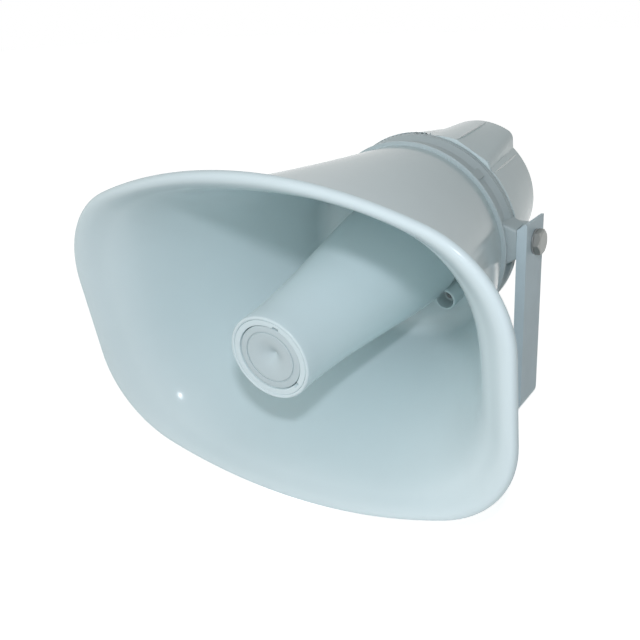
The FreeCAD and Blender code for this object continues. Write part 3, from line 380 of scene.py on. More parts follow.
@dataclass(frozen=True)
class WoundWire(Finish):
    """Close turns of enamelled wire under varnish."""

    pitch: float = 0.0006
    turn_depth: float = 0.0001

    def write(self, bench: Bench) -> None:
        """Write the nodes.

        Args:
            bench: The material's empty tree.
        """
        wave = bench.add("ShaderNodeTexWave", {"wave_type": "BANDS", "bands_direction": "Y"},
                         {"Vector": bench.where(), "Scale": WAVE_PERIOD / self.pitch, "Distortion": 0.4})
        turns = wave.out("Fac")
        tone = bench.blend(turns, shade(self.colour, 0.55), shade(self.colour, 1.15))
        bench.surface({"Base Color": tone, "Metallic": 0.8, "Roughness": 0.36,
                       "Normal": bench.bump(turns, self.turn_depth, 0.7)})


@dataclass(frozen=True)
class Laminations(Finish):
    """Stacked steel sheets seen on edge, varnished."""

    stain: Colour = (0.12, 0.07, 0.04)
    stain_scale: float = 90.0
    sheet_scale: float = 630.0
    sheet_depth: float = 0.00008

    def write(self, bench: Bench) -> None:
        """Write the nodes.

        Args:
            bench: The material's empty tree.
        """
        wave = bench.add("ShaderNodeTexWave", {"wave_type": "BANDS", "bands_direction": "Z"},
                         {"Vector": bench.where(), "Scale": self.sheet_scale, "Distortion": 0.3})
        sheets = wave.out("Fac")
        stain = bench.noise(self.stain_scale, 4.0, 0.6)
        tone = bench.blend(sheets.ramp(0.3, 0.7), shade(self.colour, 0.6), self.colour)
        bench.surface({"Base Color": bench.blend(stain.ramp(0.5, 0.8), tone, self.stain),
                       "Metallic": 0.7, "Roughness": 0.42 + 0.1 * stain,
                       "Normal": bench.bump(sheets, self.sheet_depth, 0.6)})


PALE = linear(217, 234, 236)
FINISHES: dict[str, Finish] = {
    "horn": GlossPlastic("horn_moulding", PALE, 0.12),
    "reflector": GlossPlastic("reflector_moulding", PALE, 0.2),
    # cap: a little more neutral than the horn's plastic in hue, and darker as painted shade
    "cap": GlossPlastic("cap_moulding_painted_shade", linear(196, 212, 214), 0.16),
    "cover": GlossPlastic("cover_moulding", PALE, 0.14),
    # ridge: lighter than the cover's plastic, a painted highlight along the hump's edges
    "ridge": GlossPlastic("ridge_painted_highlight", linear(244, 254, 254), 0.14),
    # collar: the horn's plastic darkened to three quarters, as painted shade
    "collar": GlossPlastic("collar_painted_shade", shade(PALE, 0.75), 0.24),
    "tube": GlossPlastic("tube_moulding", shade(PALE, 0.92), 0.3),
    "bracket": PowderCoat("bracket_coat", linear(206, 225, 231)),
    "bolt": PlatedSteel("bolt_steel", (0.02, 0.019, 0.017), 0.12, 0.4),
    "washer": PlatedSteel("washer_steel", (0.02, 0.02, 0.02), 0.25, 0.3),
    "screw": PlatedSteel("screw_steel", (0.42, 0.42, 0.40), 0.28, 0.25),
    "pole": PlatedSteel("pole_steel", (0.50, 0.50, 0.46), 0.36, 0.2),
    "casting": PlatedSteel("cast_aluminium", (0.62, 0.62, 0.62), 0.45, 0.2),
    "brass": PlatedSteel("turned_brass", (0.62, 0.43, 0.17), 0.26, 0.3),
    "rubber": SoftRubber("soft_rubber", (0.022, 0.022, 0.023)),
    "fibre": DullPlastic("pressed_fibre", (0.28, 0.17, 0.09), 0.75, 0.25),
    "dark": DullPlastic("dark_moulding", (0.03, 0.03, 0.032), 0.45, 0.2),
    "ferrite": DullPlastic("ferrite", (0.045, 0.045, 0.047), 0.55, 0.25),
    "film": DullPlastic("amber_film", (0.42, 0.22, 0.06), 0.28, 0.1),
    "wire": WoundWire("copper_turns", (0.62, 0.26, 0.10)),
    "winding": WoundWire("varnished_winding", (0.42, 0.27, 0.10), 0.0009),
    "core": Laminations("core_sheets", (0.20, 0.20, 0.21)),
}


@dataclass(frozen=True)
class HornFrame:
    """The horn's own frame: x across, depth back from the mouth, z up, in millimetres."""

    pivot_depth: float = 190.5
    pivot_height: float = 126.1
    tilt: float = math.radians(6.9)

    def turn(self, x: float, depth: float, z: float) -> Vector:
        """A direction of the horn's frame in the row's frame."""
        return Matrix.Rotation(self.tilt, 3, "X") @ Vector((x, depth, z))

    def place(self, x: float, depth: float, z: float) -> Vector:
        """A point of the horn's frame in the row's frame, in metres."""
        turned = self.turn(x, depth - self.pivot_depth, z)
        return (turned + Vector((0, 0, self.pivot_height))) * MM


HORN = HornFrame()


class Closing(Enum):
    """How the rings of a skin end."""

    CAPPED = "capped"
    LOOPED = "looped"


@dataclass
class Skin:
    """A mesh that runs from ring to ring, all with the same number of points."""

    rings: list[Ring] = field(default_factory=list)
    closing: Closing = Closing.CAPPED

    def faces(self) -> list[tuple[int, ...]]:
        """Faces of the skin.

        Returns:
            Index tuples into the points taken ring by ring.
        """
        count = len(self.rings[0])
        last = len(self.rings)
        faces: list[tuple[int, ...]] = []
        for row in range(last if self.closing is Closing.LOOPED else last - 1):
            below = row * count
            above = (row + 1) % last * count
            for column in range(count):
                side = (column + 1) % count
                faces.append((below + column, below + side, above + side, above + column))
        if self.closing is Closing.CAPPED:
            faces.append(tuple(reversed(range(count))))
            faces.append(tuple(range((last - 1) * count, last * count)))
        return faces

    def points(self) -> list[Vector]:
        """All points, ring by ring."""
        return [point for ring in self.rings for point in ring]


def make_piece(name: str, skins: Sequence[Skin], finish: Finish, sharp: float = 32.0) -> bpy.types.Object:
    """Make one object from skins.

    Args:
        name: The piece's name.
        skins: Its skins, each a closed shell.
        finish: Its finish.
        sharp: Angle in degrees above which an edge stays sharp.

    Returns:
        The object, linked to the scene.
    """
    points: list[Vector] = []
    faces: list[tuple[int, ...]] = []
    for skin in skins:
        start = len(points)
        points.extend(skin.points())
        faces.extend(tuple(index + start for index in face) for face in skin.faces())
    mesh = bpy.data.meshes.new(name)
    mesh.from_pydata([tuple(point) for point in points], [], faces)
    mesh.validate()
    mesh.shade_smooth()
    mesh.set_sharp_from_angle(angle=math.radians(sharp))
    mesh.materials.append(finish.material())
    made = bpy.data.objects.new(name, mesh)
    bpy.context.scene.collection.objects.link(made)
    return made


def rounded(corners: Sequence[tuple[float, ...]], steps: int = 5) -> list[tuple[float, float]]:
    """Closed outline whose corners may carry a radius.

    Args:
        corners: (x, y) or (x, y, radius) for each corner.
        steps: Chords of each rounded corner.

    Returns:
        Points of the outline.
    """
    outline: list[tuple[float, float]] = []
    for index, corner in enumerate(corners):
        here = Vector(corner[:2])
        if len(corner) < 3:
            outline.append((here.x, here.y))
            continue
        back = (Vector(corners[index - 1][:2]) - here).normalized()
        ahead = (Vector(corners[(index + 1) % len(corners)][:2]) - here).normalized()
        half = back.angle(ahead) / 2
        run = corner[2] / math.tan(half)
        centre = here + (back + ahead).normalized() * (corner[2] / math.sin(half))
        first = here + back * run - centre
        last = here + ahead * run - centre
        sweep = first.angle_signed(last)
        for step in range(steps + 1):
            angle = -sweep * step / steps
            turned = Vector((first.x * math.cos(angle) - first.y * math.sin(angle),
                             first.x * math.sin(angle) + first.y * math.cos(angle)))
            outline.append((centre.x + turned.x, centre.y + turned.y))
    return outline


def lathe(profile: Sequence[tuple[float, float]], count: int,
          centre: tuple[float, float] = (0.0, 0.0)) -> Skin:
    """Turn a (radius, depth) profile about the horn's axis.

    Args:
        profile: Radius and depth of each ring.
        count: Points of a ring.
        centre: Across and up of the axis.

    Returns:
        The turned skin.
    """
    rings: list[Ring] = []
    for radius, depth in profile:
        radius = max(radius, PIN_HOLE)
        rings.append([HORN.place(centre[0] + radius * math.cos(2 * math.pi * step / count), depth,
                                 centre[1] + radius * math.sin(2 * math.pi * step / count))
                      for step in range(count)])
    return Skin(rings, Closing.LOOPED)


def add_to(piece: bpy.types.Object, body: str, slot: str, *nodes: str) -> None:
    """Let a piece ride on a body.

    Args:
        piece: The piece.
        body: The body that it moves with.
        slot: The material slot of its finish; not used.
        nodes: CAD nodes that it stands for.
    """
    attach(piece, body)
    if nodes:
        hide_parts(*nodes)
    LOG.info("%s rides on %s", piece.name, body)


@dataclass(frozen=True)
class CadGroup:
    """A sub-assembly whose solids keep their shape and get their finishes.

    `finishes` gives each node its finish, and `eased` the width in millimetres of its eased edges.
    """

    finishes: dict[str, str]
    eased: dict[str, float] = field(default_factory=dict)
    sharp: float = 28.0
    eased_angle: float = 40.0
    eased_segments: int = 2

    def ease(self, piece: bpy.types.Object, width: float) -> None:
        """Ease the sharp edges of a solid.

        Args:
            piece: The solid's object.
            width: Width of the easing in millimetres.
        """
        easing = piece.modifiers.new("eased_edges", "BEVEL")
        easing.width = width * MM
        easing.segments = self.eased_segments
        easing.limit_method = "ANGLE"
        easing.angle_limit = math.radians(self.eased_angle)
        easing.use_clamp_overlap = False
        easing.harden_normals = True

    def build(self) -> None:
        """Dress every solid of the group."""
        for node, finish in self.finishes.items():
            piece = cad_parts[node]
            piece.data.materials.clear()
            piece.data.materials.append(FINISHES[finish].material())
            piece.data.shade_smooth()
            piece.data.set_sharp_from_angle(angle=math.radians(self.sharp))
            if node in self.eased:
                self.ease(piece, self.eased[node])
            LOG.info("%s dressed in %s", node, FINISHES[finish].name)


HOUSING = CadGroup({"mounting_collar": "collar", "rear_cover": "cover", "throat_tube": "tube",
                    "reflector_screws": "washer", "ear_inserts": "brass", "cover_seal": "rubber",
                    "cover_screws": "screw", "cable_gland": "rubber"},
                   {"rear_cover": 0.7, "mounting_collar": 0.4})
DRIVER = CadGroup({"driver_gasket": "fibre", "driver_frame": "casting", "phase_plug": "dark",
                   "driver_screws": "screw", "diaphragm_ring": "dark", "surround": "film",
                   "diaphragm": "film", "voice_coil": "wire", "top_plate": "pole", "magnet": "ferrite",
                   "yoke": "pole"})
TRANSFORMER = CadGroup({"transformer_core": "core", "transformer_coil": "winding",
                        "transformer_clamp": "pole", "transformer_screws": "screw",
                        "terminal_block": "dark"})
BRACKET = CadGroup({"bracket": "bracket"}, {"bracket": 0.5})


@dataclass
class Bell:
    """The flared bell with its rolled edge, neck and back plate, in millimetres."""

    width: float = 284.4
    height: float = 207.2
    corner: float = 64.4
    crown: float = 290.0
    bore_length: float = 165.0
    back_face: float = 169.0
    neck: float = 66.4
    side_flare: float = 22.2
    top_flare: float = 14.5
    fall: float = 8.5               # depth over which the flare falls to about a third
    ahead: float = 2.4              # rolled edge in front of the mouth's plane
    behind: float = 2.2             # rolled edge behind it
    round_over: float = 3.2
    squareness: float = 3.0         # power of the superellipse at the mouth, 2 at the neck
    rounding_rate: float = 2.2
    skin: float = 1.716
    rear_share: float = 0.6         # rear round of the rolled edge, as a share of `behind`
    front_share: float = 0.98       # front round, as a share of `round_over`
    rear_steps: int = 4
    front_steps: int = 8
    lip_foot: float = 8.0           # depth where the lip meets the bore
    lip_pull: float = 1.1           # strength of the lip's curve at its foot
    lip_start: float = 0.8          # and at the rolled edge, as a share of that
    lip_rings: int = 14
    floor_round: float = 14.0
    floor_rings: int = 8
    bore_depths: tuple[float, ...] = (9.2, 10.6, 12.5, 15.5, 19, 24, 30, 38, 48, 60, 74, 90, 106, 122, 138)
    floor_radii: tuple[float, ...] = (46, 32, 14.15)
    back_radii: tuple[float, ...] = (14.15, 30, 50, 67)
    outer_depths: tuple[float, ...] = (168.8, 160, 146, 130, 112, 94, 76, 58, 44, 33, 25, 19, 15.5, 13, 11,
                                       9.2, 7.6, 6.2, 5.0, 4.0, 3.1, 2.6)
    edge_inset: float = 3.6
    count: int = 216

    def mouth(self, turn: float) -> float:
        """Distance from the axis to the mouth's edge: sides, round corners, crowned top.

        Args:
            turn: Angle round the axis.

        Returns:
            The distance in millimetres.
        """
        across, up = abs(math.cos(turn)), abs(math.sin(turn))
        corner_x = self.width / 2 - self.corner
        crown_z = self.height / 2 - self.crown
        corner_z = crown_z + math.sqrt((self.crown - self.corner) ** 2 - corner_x ** 2)
        if up * self.width / 2 <= across * corner_z:
            return self.width / 2 / across
        reach = up * crown_z
        radius = reach + math.sqrt(reach ** 2 + self.crown ** 2 - crown_z ** 2)
        if radius * across <= self.crown * corner_x / (self.crown - self.corner):
            return radius
        reach = across * corner_x + up * corner_z
        return reach + math.sqrt(reach ** 2 + self.corner ** 2 - corner_x ** 2 - corner_z ** 2)

    def wall(self, turn: float, depth: float, grow: float = 0.0) -> float:
        """Distance to the straight wall, square at the mouth and round at the neck.

        Args:
            turn: Angle round the axis.
            depth: Depth behind the mouth.
            grow: Growth of both half axes.

        Returns:
            The distance in millimetres.
        """
        share = 1 - depth / self.bore_length
        width = self.neck + (self.width / 2 - self.side_flare - self.neck) * share + grow
        height = self.neck + (self.height / 2 - self.top_flare - self.neck) * share + grow
        power = 2 + (self.squareness - 2) * max(share, 0.0) ** self.rounding_rate
        return (abs(math.cos(turn) / width) ** power + abs(math.sin(turn) / height) ** power) ** (-1 / power)

    def bore(self, turn: float, depth: float, grow: float = 0.0) -> float:
        """The wall with the lip that flares out to the inside of the rolled edge.

        Args:
            turn: Angle round the axis.
            depth: Depth behind the mouth.
            grow: Growth of the wall.

        Returns:
            The distance in millimetres.
        """
        centre = self.round_over - self.ahead
        lip = self.mouth(turn) - 2 * self.round_over - self.wall(turn, centre)
        return self.wall(turn, depth, grow) + lip * math.exp((centre - depth) / self.fall)

    def ring(self, radius_at: Callable[[float], float], depth: float) -> Ring:
        """Closed ring at a depth.

        Args:
            radius_at: Distance from the axis at an angle.
            depth: Depth behind the mouth.

        Returns:
            The ring.
        """
        ring: Ring = []
        for step in range(self.count):
            turn = 2 * math.pi * step / self.count
            radius = radius_at(turn)
            ring.append(HORN.place(radius * math.cos(turn), depth, radius * math.sin(turn)))
        return ring

    def inside(self, depth: float) -> Ring:
        """Ring of the bore."""
        return self.ring(lambda turn: self.bore(turn, depth), depth)

    def outside(self, depth: float) -> Ring:
        """Ring of the outer face, a skin's shift out and back."""
        return self.ring(lambda turn: self.bore(turn, depth - self.skin, self.skin), depth)

    def parallel(self, inset: float, depth: float) -> Ring:
        """Ring parallel to the mouth's edge."""
        return self.ring(lambda turn: self.mouth(turn) - inset, depth)

    def rolled_edge(self) -> list[Ring]:
        """Rings over the rolled edge and down the lip.

        Returns:
            Rings from the edge's rear face round its front to the bore at the lip's foot.
        """
        rings: list[Ring] = []
        rear, front = self.behind * self.rear_share, self.round_over * self.front_share
        for step in range(self.rear_steps + 1):
            angle = math.pi / 2 * step / self.rear_steps
            rings.append(self.parallel(rear * (1 - math.sin(angle)),
                                       self.behind - rear * (1 - math.cos(angle))))
        for step in range(self.front_steps + 1):
            angle = math.pi / 2 * step / self.front_steps
            rings.append(self.parallel(front * (1 - math.cos(angle)),
                                       front - self.ahead - front * math.sin(angle)))
        for step in range(1, self.lip_rings + 1):
            rings.append(self.lip_ring(step / self.lip_rings, front))
        return rings

    def lip_ring(self, share: float, start: float) -> Ring:
        """Ring of the smooth lip between the rolled edge's front and the bore.

        Args:
            share: 0 at the rolled edge's front and 1 at the lip's foot.
            start: Inset of the rolled edge's front from the mouth's edge.

        Returns:
            The ring, whose points lie on one cubic at each turn.
        """
        ring: Ring = []
        first, last = -self.ahead, self.lip_foot
        leave = share ** 3 - 2 * share ** 2 + share
        arrive = share ** 3 - share ** 2
        rise = 3 * share ** 2 - 2 * share ** 3
        probe = 0.1
        for step in range(self.count):
            turn = 2 * math.pi * step / self.count
            foot = self.mouth(turn) - self.bore(turn, last)
            slope = (self.bore(turn, last - probe) - self.bore(turn, last + probe)) / (2 * probe)
            pull = self.lip_pull * math.hypot(foot - start, last - first)
            along = pull / math.hypot(slope, 1.0)
            inset = (start + (foot - start) * rise + pull * self.lip_start * leave
                     + slope * along * arrive)
            depth = first + (last - first) * rise + along * arrive
            radius = self.mouth(turn) - inset
            ring.append(HORN.place(radius * math.cos(turn), depth, radius * math.sin(turn)))
        return ring

    def build(self) -> None:
        """Build the bell as one closed skin: edge, bore, floor, back, outer face."""
        rings = self.rolled_edge()
        floor = self.bore_length - self.floor_round
        rings += [self.inside(depth) for depth in (*self.bore_depths, floor)]
        for step in range(1, self.floor_rings + 1):
            angle = math.pi / 2 * step / self.floor_rings
            inset = self.floor_round * (1 - math.cos(angle))
            depth = self.bore_length - self.floor_round * (1 - math.sin(angle))
            rings.append(self.ring(lambda turn: self.bore(turn, floor) - inset, depth))
        rings += [self.ring(lambda turn: radius, self.bore_length) for radius in self.floor_radii]
        rings += [self.ring(lambda turn: radius, self.back_face) for radius in self.back_radii]
        rings += [self.outside(depth) for depth in self.outer_depths]
        rings.append(self.parallel(self.edge_inset, self.behind))
        piece = make_piece("bell_shell", [Skin(rings, Closing.LOOPED)], FINISHES["horn"], sharp=44)
        add_to(piece, "horn", "horn_plastic", "horn_bell")


@dataclass
class Reflector:
    """The bullet in the bell's middle with its cap seat and screw tubes, in millimetres."""

    front: float = -4.3
    front_radius: float = 25.7
    swell: float = 34.6
    taper: float = 19.1
    swell_length: float = 150.0
    rear: float = 156.0
    wall: float = 2.4
    bead: float = 2.2
    seat_radius: float = 20.1
    seat_depth: float = 9.3
    seat_wall: float = 2.5
    seat_round: float = 0.35
    face_step: float = 0.5          # from the bead's front back to the face round the seat
    gap: float = 0.05               # between a screw tube and the bell's back plate
    cap_radius: float = 19.6
    cap_face: float = -3.2
    cap_ring: float = 3.8
    cap_round: float = 0.5
    cap_line: float = 0.7           # width and depth of the fine line inside the ring
    cap_line_round: float = 0.25
    dish: float = 6.4
    cusp: float = 2.1               # power of the dish's fall to its middle
    boss_circle: float = 46.0
    boss_radius: float = 7.8
    boss_bore: float = 6.2
    boss_front: float = 149.5
    boss_seat: float = 165.0
    boss_floor: float = 4.0
    boss_angles: tuple[float, ...] = (45, 135, 225, 315)
    screw_hole: float = 2.2
    notch_angles: tuple[float, ...] = (68.0, -43.0)
    notch_width: float = 3.0
    notch_depth: float = 3.0
    count: int = 240

    def radius(self, depth: float) -> float:
        """Outer radius at a depth."""
        share = (depth - self.front) / self.swell_length
        return self.front_radius + self.swell * share ** 2 - self.taper * share ** 3

    def shell(self) -> Skin:
        """The turned shell with its bead, recess and open rear.

        Returns:
            The closed skin.
        """
        half = self.bead / 2
        profile: list[tuple[float, float]] = []
        for step in range(9):
            angle = math.pi * step / 8
            profile.append((self.front_radius - half - half * math.cos(angle),
                            self.front + half - half * math.sin(angle)))
        start = self.front + half
        for step in range(1, 25):
            depth = start + (self.rear - start) * step / 24
            profile.append((self.radius(depth), depth))
        profile.append((self.radius(self.rear) - self.wall, self.rear))
        inner = self.front + self.seat_depth + self.seat_wall
        for step in range(1, 13):
            depth = self.rear + (inner - self.rear) * step / 12
            profile.append((self.radius(depth) - self.wall, depth))
        seat = self.front + self.seat_depth
        ring = self.front + self.face_step
        soft, mid = self.seat_round, 0.1
        notched = self.seat_radius + self.notch_width / 2
        profile += [(0, inner), (0, seat), (self.seat_radius, seat), (self.seat_radius, ring + soft),
                    (self.seat_radius + mid, ring + mid), (self.seat_radius + soft, ring), (notched, ring),
                    (notched + 0.1, ring), (self.front_radius - self.bead - 0.15, ring)]
        skin = lathe(profile, self.count)
        self.notch(skin.rings[-6:-2])
        return skin

    def notch(self, rings: Sequence[Ring]) -> None:
        """Sink the notches for opening the cap.

        Args:
            rings: The rings of the seat's edge.
        """
        half = math.degrees(self.notch_width / 2 / self.seat_radius)
        for place in self.notch_angles:
            for step in range(self.count):
                away = (360.0 * step / self.count - place + 180.0) % 360.0 - 180.0
                if abs(away) < half:
                    for ring in rings:
                        ring[step] += HORN.turn(0, self.notch_depth, 0) * MM

    def boss(self, angle: float) -> Skin:
        """One screw tube, open to the front.

        Args:
            angle: Its place round the axis in degrees.

        Returns:
            The closed skin.
        """
        across = self.boss_circle * math.cos(math.radians(angle))
        up = self.boss_circle * math.sin(math.radians(angle))
        seat = self.boss_seat - self.gap
        floor = self.boss_seat - self.boss_floor
        profile = rounded([(self.boss_bore, self.boss_front, 0.5), (self.boss_radius, self.boss_front, 0.8),
                           (self.boss_radius, seat), (self.screw_hole, seat), (self.screw_hole, floor),
                           (self.boss_bore, floor)])
        return lathe(profile, 40, (across, up))

    def cap(self) -> Skin:
        """The dished cap with its ring and fine line.

        Returns:
            The closed skin.
        """
        inner = self.cap_radius - self.cap_ring
        rim = inner - self.cap_line
        bottom, soft, mid, fine = self.cap_line, self.cap_round, 0.15, self.cap_line_round
        face, base, edge = self.cap_face, self.front + self.seat_depth - 0.02, rim - 0.3
        profile: list[tuple[float, float]] = [
            (0, base), (self.cap_radius, base), (self.cap_radius, face + soft),
            (self.cap_radius - mid, face + mid), (self.cap_radius - soft, face), (inner + fine, face),
            (inner, face + fine), (inner, face + bottom), (rim, face + bottom), (rim, face + 0.3),
            (edge, face)]
        for step in range(1, 17):
            radius = edge * (1 - step / 16)
            profile.append((radius, face + self.dish * (1 - radius / rim) ** self.cusp))
        return lathe(profile, self.count)

    def build(self) -> None:
        """Build the reflector with its tubes, and its cap."""
        skins = [self.shell()] + [self.boss(angle) for angle in self.boss_angles]
        shell = make_piece("reflector_shell", skins, FINISHES["reflector"], sharp=40)
        add_to(shell, "horn", "reflector_plastic", "reflector")
        cap = make_piece("reflector_dish", [self.cap()], FINISHES["cap"], sharp=30)
        add_to(cap, "horn", "cap_plastic", "reflector_cap")


@dataclass
class HumpRidges:
    """Fine moulded beads along the hump's two long edges, in millimetres. Their colour, lighter than the
    cover's, is a painted highlight.
    """

    front: float = 194.0
    rear: float = 266.0
    across: float = 0.9             # radius of a bead
    tip: float = 0.15               # share of the radius that is left at the ends
    taper: float = 4.0              # its gain over a bead's whole length
    steps: int = 12
    count: int = 12
    lines: tuple[tuple[tuple[float, float], tuple[float, float]], ...] = (
        ((27.9, 66.3), (17.4, 57.75)), ((53.2, 44.45), (41.6, 34.95)))

    def bead(self, start: tuple[float, float], end: tuple[float, float]) -> Skin:
        """One bead with tapered ends.

        Args:
            start: Across and up of its front end.
            end: Across and up of its rear end.

        Returns:
            The closed skin.
        """
        rings: list[Ring] = []
        for step in range(self.steps + 1):
            share = step / self.steps
            radius = self.across * min(1.0, self.tip + self.taper * min(share, 1 - share))
            x = start[0] + (end[0] - start[0]) * share
            z = start[1] + (end[1] - start[1]) * share
            depth = self.front + (self.rear - self.front) * share
            turns = [2 * math.pi * place / self.count for place in range(self.count)]
            rings.append([HORN.place(x + radius * math.cos(turn), depth, z + radius * math.sin(turn))
                          for turn in turns])
        return Skin(rings, Closing.CAPPED)

    def build(self) -> None:
        """Build the beads; they ride with the cover."""
        skins = [self.bead(*line) for line in self.lines]
        beads = make_piece("hump_ridges", skins, FINISHES["ridge"], sharp=60)
        add_to(beads, "horn", "cover_plastic")


@dataclass
class PivotBolts:
    """The two hex bolts with their washers on the bracket's arms, in millimetres."""

    depth: float = HORN.pivot_depth
    seat: float = 83.0
    washer: float = 1.2
    washer_radius: float = 8.6
    head: float = 5.0
    across_flats: float = 15.6
    tip_share: float = 0.93         # flat end, as a share of the hexagon's inner radius
    centre_share: float = 0.5
    chamfer: float = 1.9
    chamfer_steps: int = 8
    chamfer_slope: float = 1.6
    foot_inset: float = 0.3
    foot_height: float = 0.25
    ease: float = 0.15
    shank: float = 5.0
    length: float = 11.0
    count: int = 72

    def ring(self, side: int, x: float, radius_at: Callable[[float], float]) -> Ring:
        """Ring round the pivots' axis.

        Args:
            side: 1 for the right side and -1 for the left.
            x: Distance from the middle.
            radius_at: Distance from the axis at an angle.

        Returns:
            The ring.
        """
        ring: Ring = []
        for step in range(self.count):
            turn = 2 * math.pi * step / self.count
            radius = radius_at(turn)
            ring.append(HORN.place(side * x, self.depth + side * radius * math.cos(turn),
                                   radius * math.sin(turn)))
        return ring

    def hexagon(self, turn: float) -> float:
        """Distance to the hexagon's edge, with a corner facing forward."""
        return self.across_flats / 2 / math.cos(turn % (math.pi / 3) - math.pi / 6)

    def bolt(self, side: int) -> Skin:
        """One bolt: turned chamfer over a hexagon, then the shank.

        Args:
            side: 1 for the right side and -1 for the left.

        Returns:
            The closed skin.
        """
        seat = self.seat + self.washer
        end = seat + self.head
        flat = self.across_flats / 2
        rings = [self.ring(side, seat - self.length, lambda turn: self.shank),
                 self.ring(side, seat, lambda turn: self.shank),
                 self.ring(side, seat, lambda turn: self.hexagon(turn) - self.foot_inset),
                 self.ring(side, seat + self.foot_height, self.hexagon)]
        for step in range(self.chamfer_steps + 1):
            x = end - self.chamfer + self.chamfer * step / self.chamfer_steps
            cone = flat * self.tip_share + (end - x) * self.chamfer_slope
            rings.append(self.ring(side, x, lambda turn: min(self.hexagon(turn), cone)))
        rings.append(self.ring(side, end, lambda turn: flat * self.centre_share))
        return Skin(rings, Closing.CAPPED)

    def plain_washer(self, side: int) -> Skin:
        """One washer with eased edges.

        Args:
            side: 1 for the right side and -1 for the left.

        Returns:
            The closed skin.
        """
        near, far = self.seat, self.seat + self.washer
        hole, rim = self.shank + 0.05, self.washer_radius
        profile = ((near, hole), (near, rim - self.ease), (near + self.ease, rim),
                   (far - self.ease, rim), (far, rim - self.ease), (far, hole))
        return Skin([self.ring(side, x, lambda turn: radius) for x, radius in profile], Closing.LOOPED)

    def build(self) -> None:
        """Build the bolts and the washers."""
        bolts = make_piece("hex_bolts", [self.bolt(1), self.bolt(-1)], FINISHES["bolt"], sharp=22)
        add_to(bolts, "horn", "bolt_steel", "pivot_bolts")
        washers = make_piece("plain_washers", [self.plain_washer(1), self.plain_washer(-1)],
                             FINISHES["washer"], sharp=30)
        add_to(washers, "horn", "washer_steel", "pivot_washers")


@dataclass(frozen=True)
class Flash:
    """The small lamp just above the camera, which throws the clear shadows, in metres."""

    place: Place = (0.274, -0.526, 0.396)
    target: Place = (0.0, -0.1, 0.12)
    size: tuple[float, float] = (0.04, 0.028)
    power: float = 0.92
    colour: Colour = (1.0, 1.0, 1.1)

    def build(self) -> None:
        """Add the lamp."""
        data = bpy.data.lights.new("flash", "AREA")
        data.shape = "RECTANGLE"
        data.size, data.size_y = self.size
        data.energy = self.power
        data.color = self.colour
        lamp = bpy.data.objects.new("flash", data)
        lamp.location = self.place
        aim = Vector(self.target) - Vector(self.place)
        lamp.rotation_euler = aim.to_track_quat("-Z", "Y").to_euler()
        bpy.context.scene.collection.objects.link(lamp)


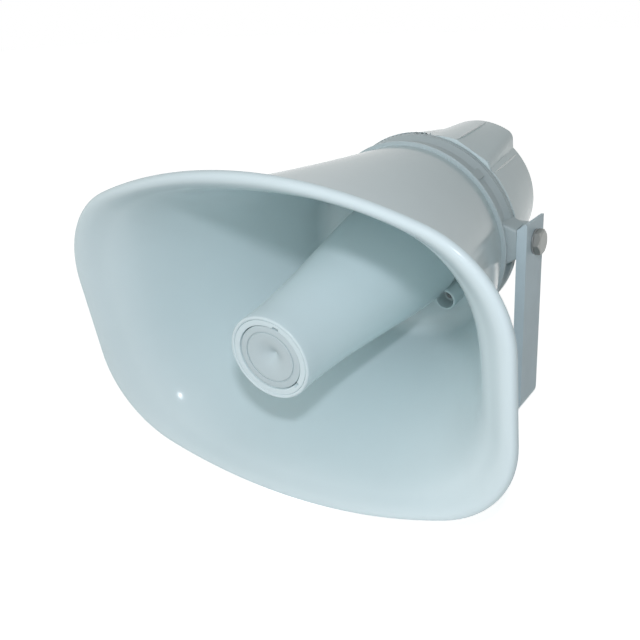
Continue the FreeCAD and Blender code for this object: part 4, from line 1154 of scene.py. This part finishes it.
@dataclass
class Studio:
    """Floor, sky, flash and camera.

    The camera's place and directions are in the horn's frame, in millimetres. A sky lobe is the
    direction that its light comes from and its strength.
    """

    sensor: float = 36.0
    focal_pixels: float = 796.14
    picture: int = 640
    offset: tuple[float, float] = (60.7, 42.83)
    eye: Place = (255.31, -294.20, 213.51)
    right: Place = (0.87035, 0.48267, -0.09757)
    up: Place = (-0.17346, 0.48594, 0.85661)
    reach: float = 6.0              # half the floor's side, in metres
    floor_paint: float = 0.9
    floor_glow: float = 0.78
    front_tint: Colour = (1.02, 1.0, 1.0)
    rear_tint: Colour = (0.86, 1.02, 0.96)
    sky_lobes: tuple[tuple[Place, float], ...] = (
        ((0.0, -1.0, 0.0), 1.08), ((-0.7, -0.7, 0.14), 0.66), ((0.0, 0.98, 0.2), 0.46))

    def camera(self) -> None:
        """Set up the camera at the photograph's viewing angle."""
        data = bpy.data.cameras.new("camera")
        data.sensor_width = self.sensor
        data.lens = self.focal_pixels * self.sensor / self.picture
        data.shift_x = -self.offset[0] / self.picture
        data.shift_y = self.offset[1] / self.picture
        data.clip_start = 0.02
        data.clip_end = 20.0
        right = HORN.turn(*self.right).normalized()
        up = HORN.turn(*self.up)
        up = (up - right * up.dot(right)).normalized()
        back = right.cross(up)
        placed = Matrix((right, up, back)).transposed().to_4x4()
        placed.translation = HORN.place(*self.eye)
        camera = bpy.data.objects.new("camera", data)
        camera.matrix_world = placed
        bpy.context.scene.collection.objects.link(camera)
        bpy.context.scene.camera = camera

    @staticmethod
    def shown(bench: Bench) -> Signal:
        """1 for rays that show the background: the camera's, and those in gloss and glass.

        Args:
            bench: The tree that asks.

        Returns:
            The mask.
        """
        path = bench.add("ShaderNodeLightPath")
        mirrored = path.out("Is Glossy Ray").larger(path.out("Is Transmission Ray"))
        return path.out("Is Camera Ray").larger(mirrored)

    def floor(self) -> None:
        """Lay the floor, which shows white to the camera and keeps the shadow."""
        mesh = bpy.data.meshes.new("floor")
        near, far = -self.reach, self.reach
        mesh.from_pydata([(near, near, 0), (far, near, 0), (far, far, 0), (near, far, 0)], [], [(0, 1, 2, 3)])
        material = bpy.data.materials.new("floor_white")
        material.use_nodes = True
        bench = Bench(material.node_tree)
        paint = bench.add("ShaderNodeBsdfDiffuse", None, {"Color": (*[self.floor_paint] * 3, 1.0)})
        glow = bench.add("ShaderNodeEmission", None,
                         {"Color": (1.0, 1.0, 1.0, 1.0), "Strength": self.floor_glow})
        seen = self.shown(bench)
        lit = bench.add("ShaderNodeAddShader", None, {0: paint.out(), 1: glow.out()})
        mixed = bench.add("ShaderNodeMixShader", None, {0: seen, 1: paint.out(), 2: lit.out()})
        bench.add("ShaderNodeOutputMaterial", None, {"Surface": mixed.out()})
        mesh.materials.append(material)
        floor = bpy.data.objects.new("floor", mesh)
        bpy.context.scene.collection.objects.link(floor)

    def sky(self) -> None:
        """Set the soft light around, white where the camera sees it."""
        world = bpy.data.worlds.new("studio")
        bpy.context.scene.world = world
        world.use_nodes = True
        bench = Bench(world.node_tree)
        seen = self.shown(bench)
        way = bench.add("ShaderNodeSeparateXYZ", None, {0: bench.add("ShaderNodeTexCoord").out("Generated")})
        lobes: list[Signal] = []
        for (east, north, high), share in self.sky_lobes:
            facing = way.out("X") * east + way.out("Y") * north + way.out("Z") * high
            lobes.append(share * facing.larger(0.0) ** 2.0)
        behind = way.out("Y").ramp(-0.3, 0.3)
        tint = bench.blend(behind, self.front_tint, self.rear_tint)
        colour = bench.blend(seen, tint, (1.0, 1.0, 1.0))
        glow = bench.add("ShaderNodeBackground", None, {"Color": colour, "Strength": sum(lobes).larger(seen)})
        bench.add("ShaderNodeOutputWorld", None, {"Surface": glow.out()})

    def build(self) -> None:
        """Build the studio."""
        self.camera()
        self.floor()
        self.sky()
        Flash().build()
        bpy.context.scene.view_settings.view_transform = "Standard"


def main() -> None:
    """Build the pieces in order and set the studio."""
    logging.basicConfig(level=logging.INFO, format="%(message)s")
    Studio().build()
    for group in (HOUSING, DRIVER, TRANSFORMER, BRACKET):
        group.build()
    Bell().build()
    Reflector().build()
    PivotBolts().build()
    HumpRidges().build()


if __name__ == "__main__":
    main()
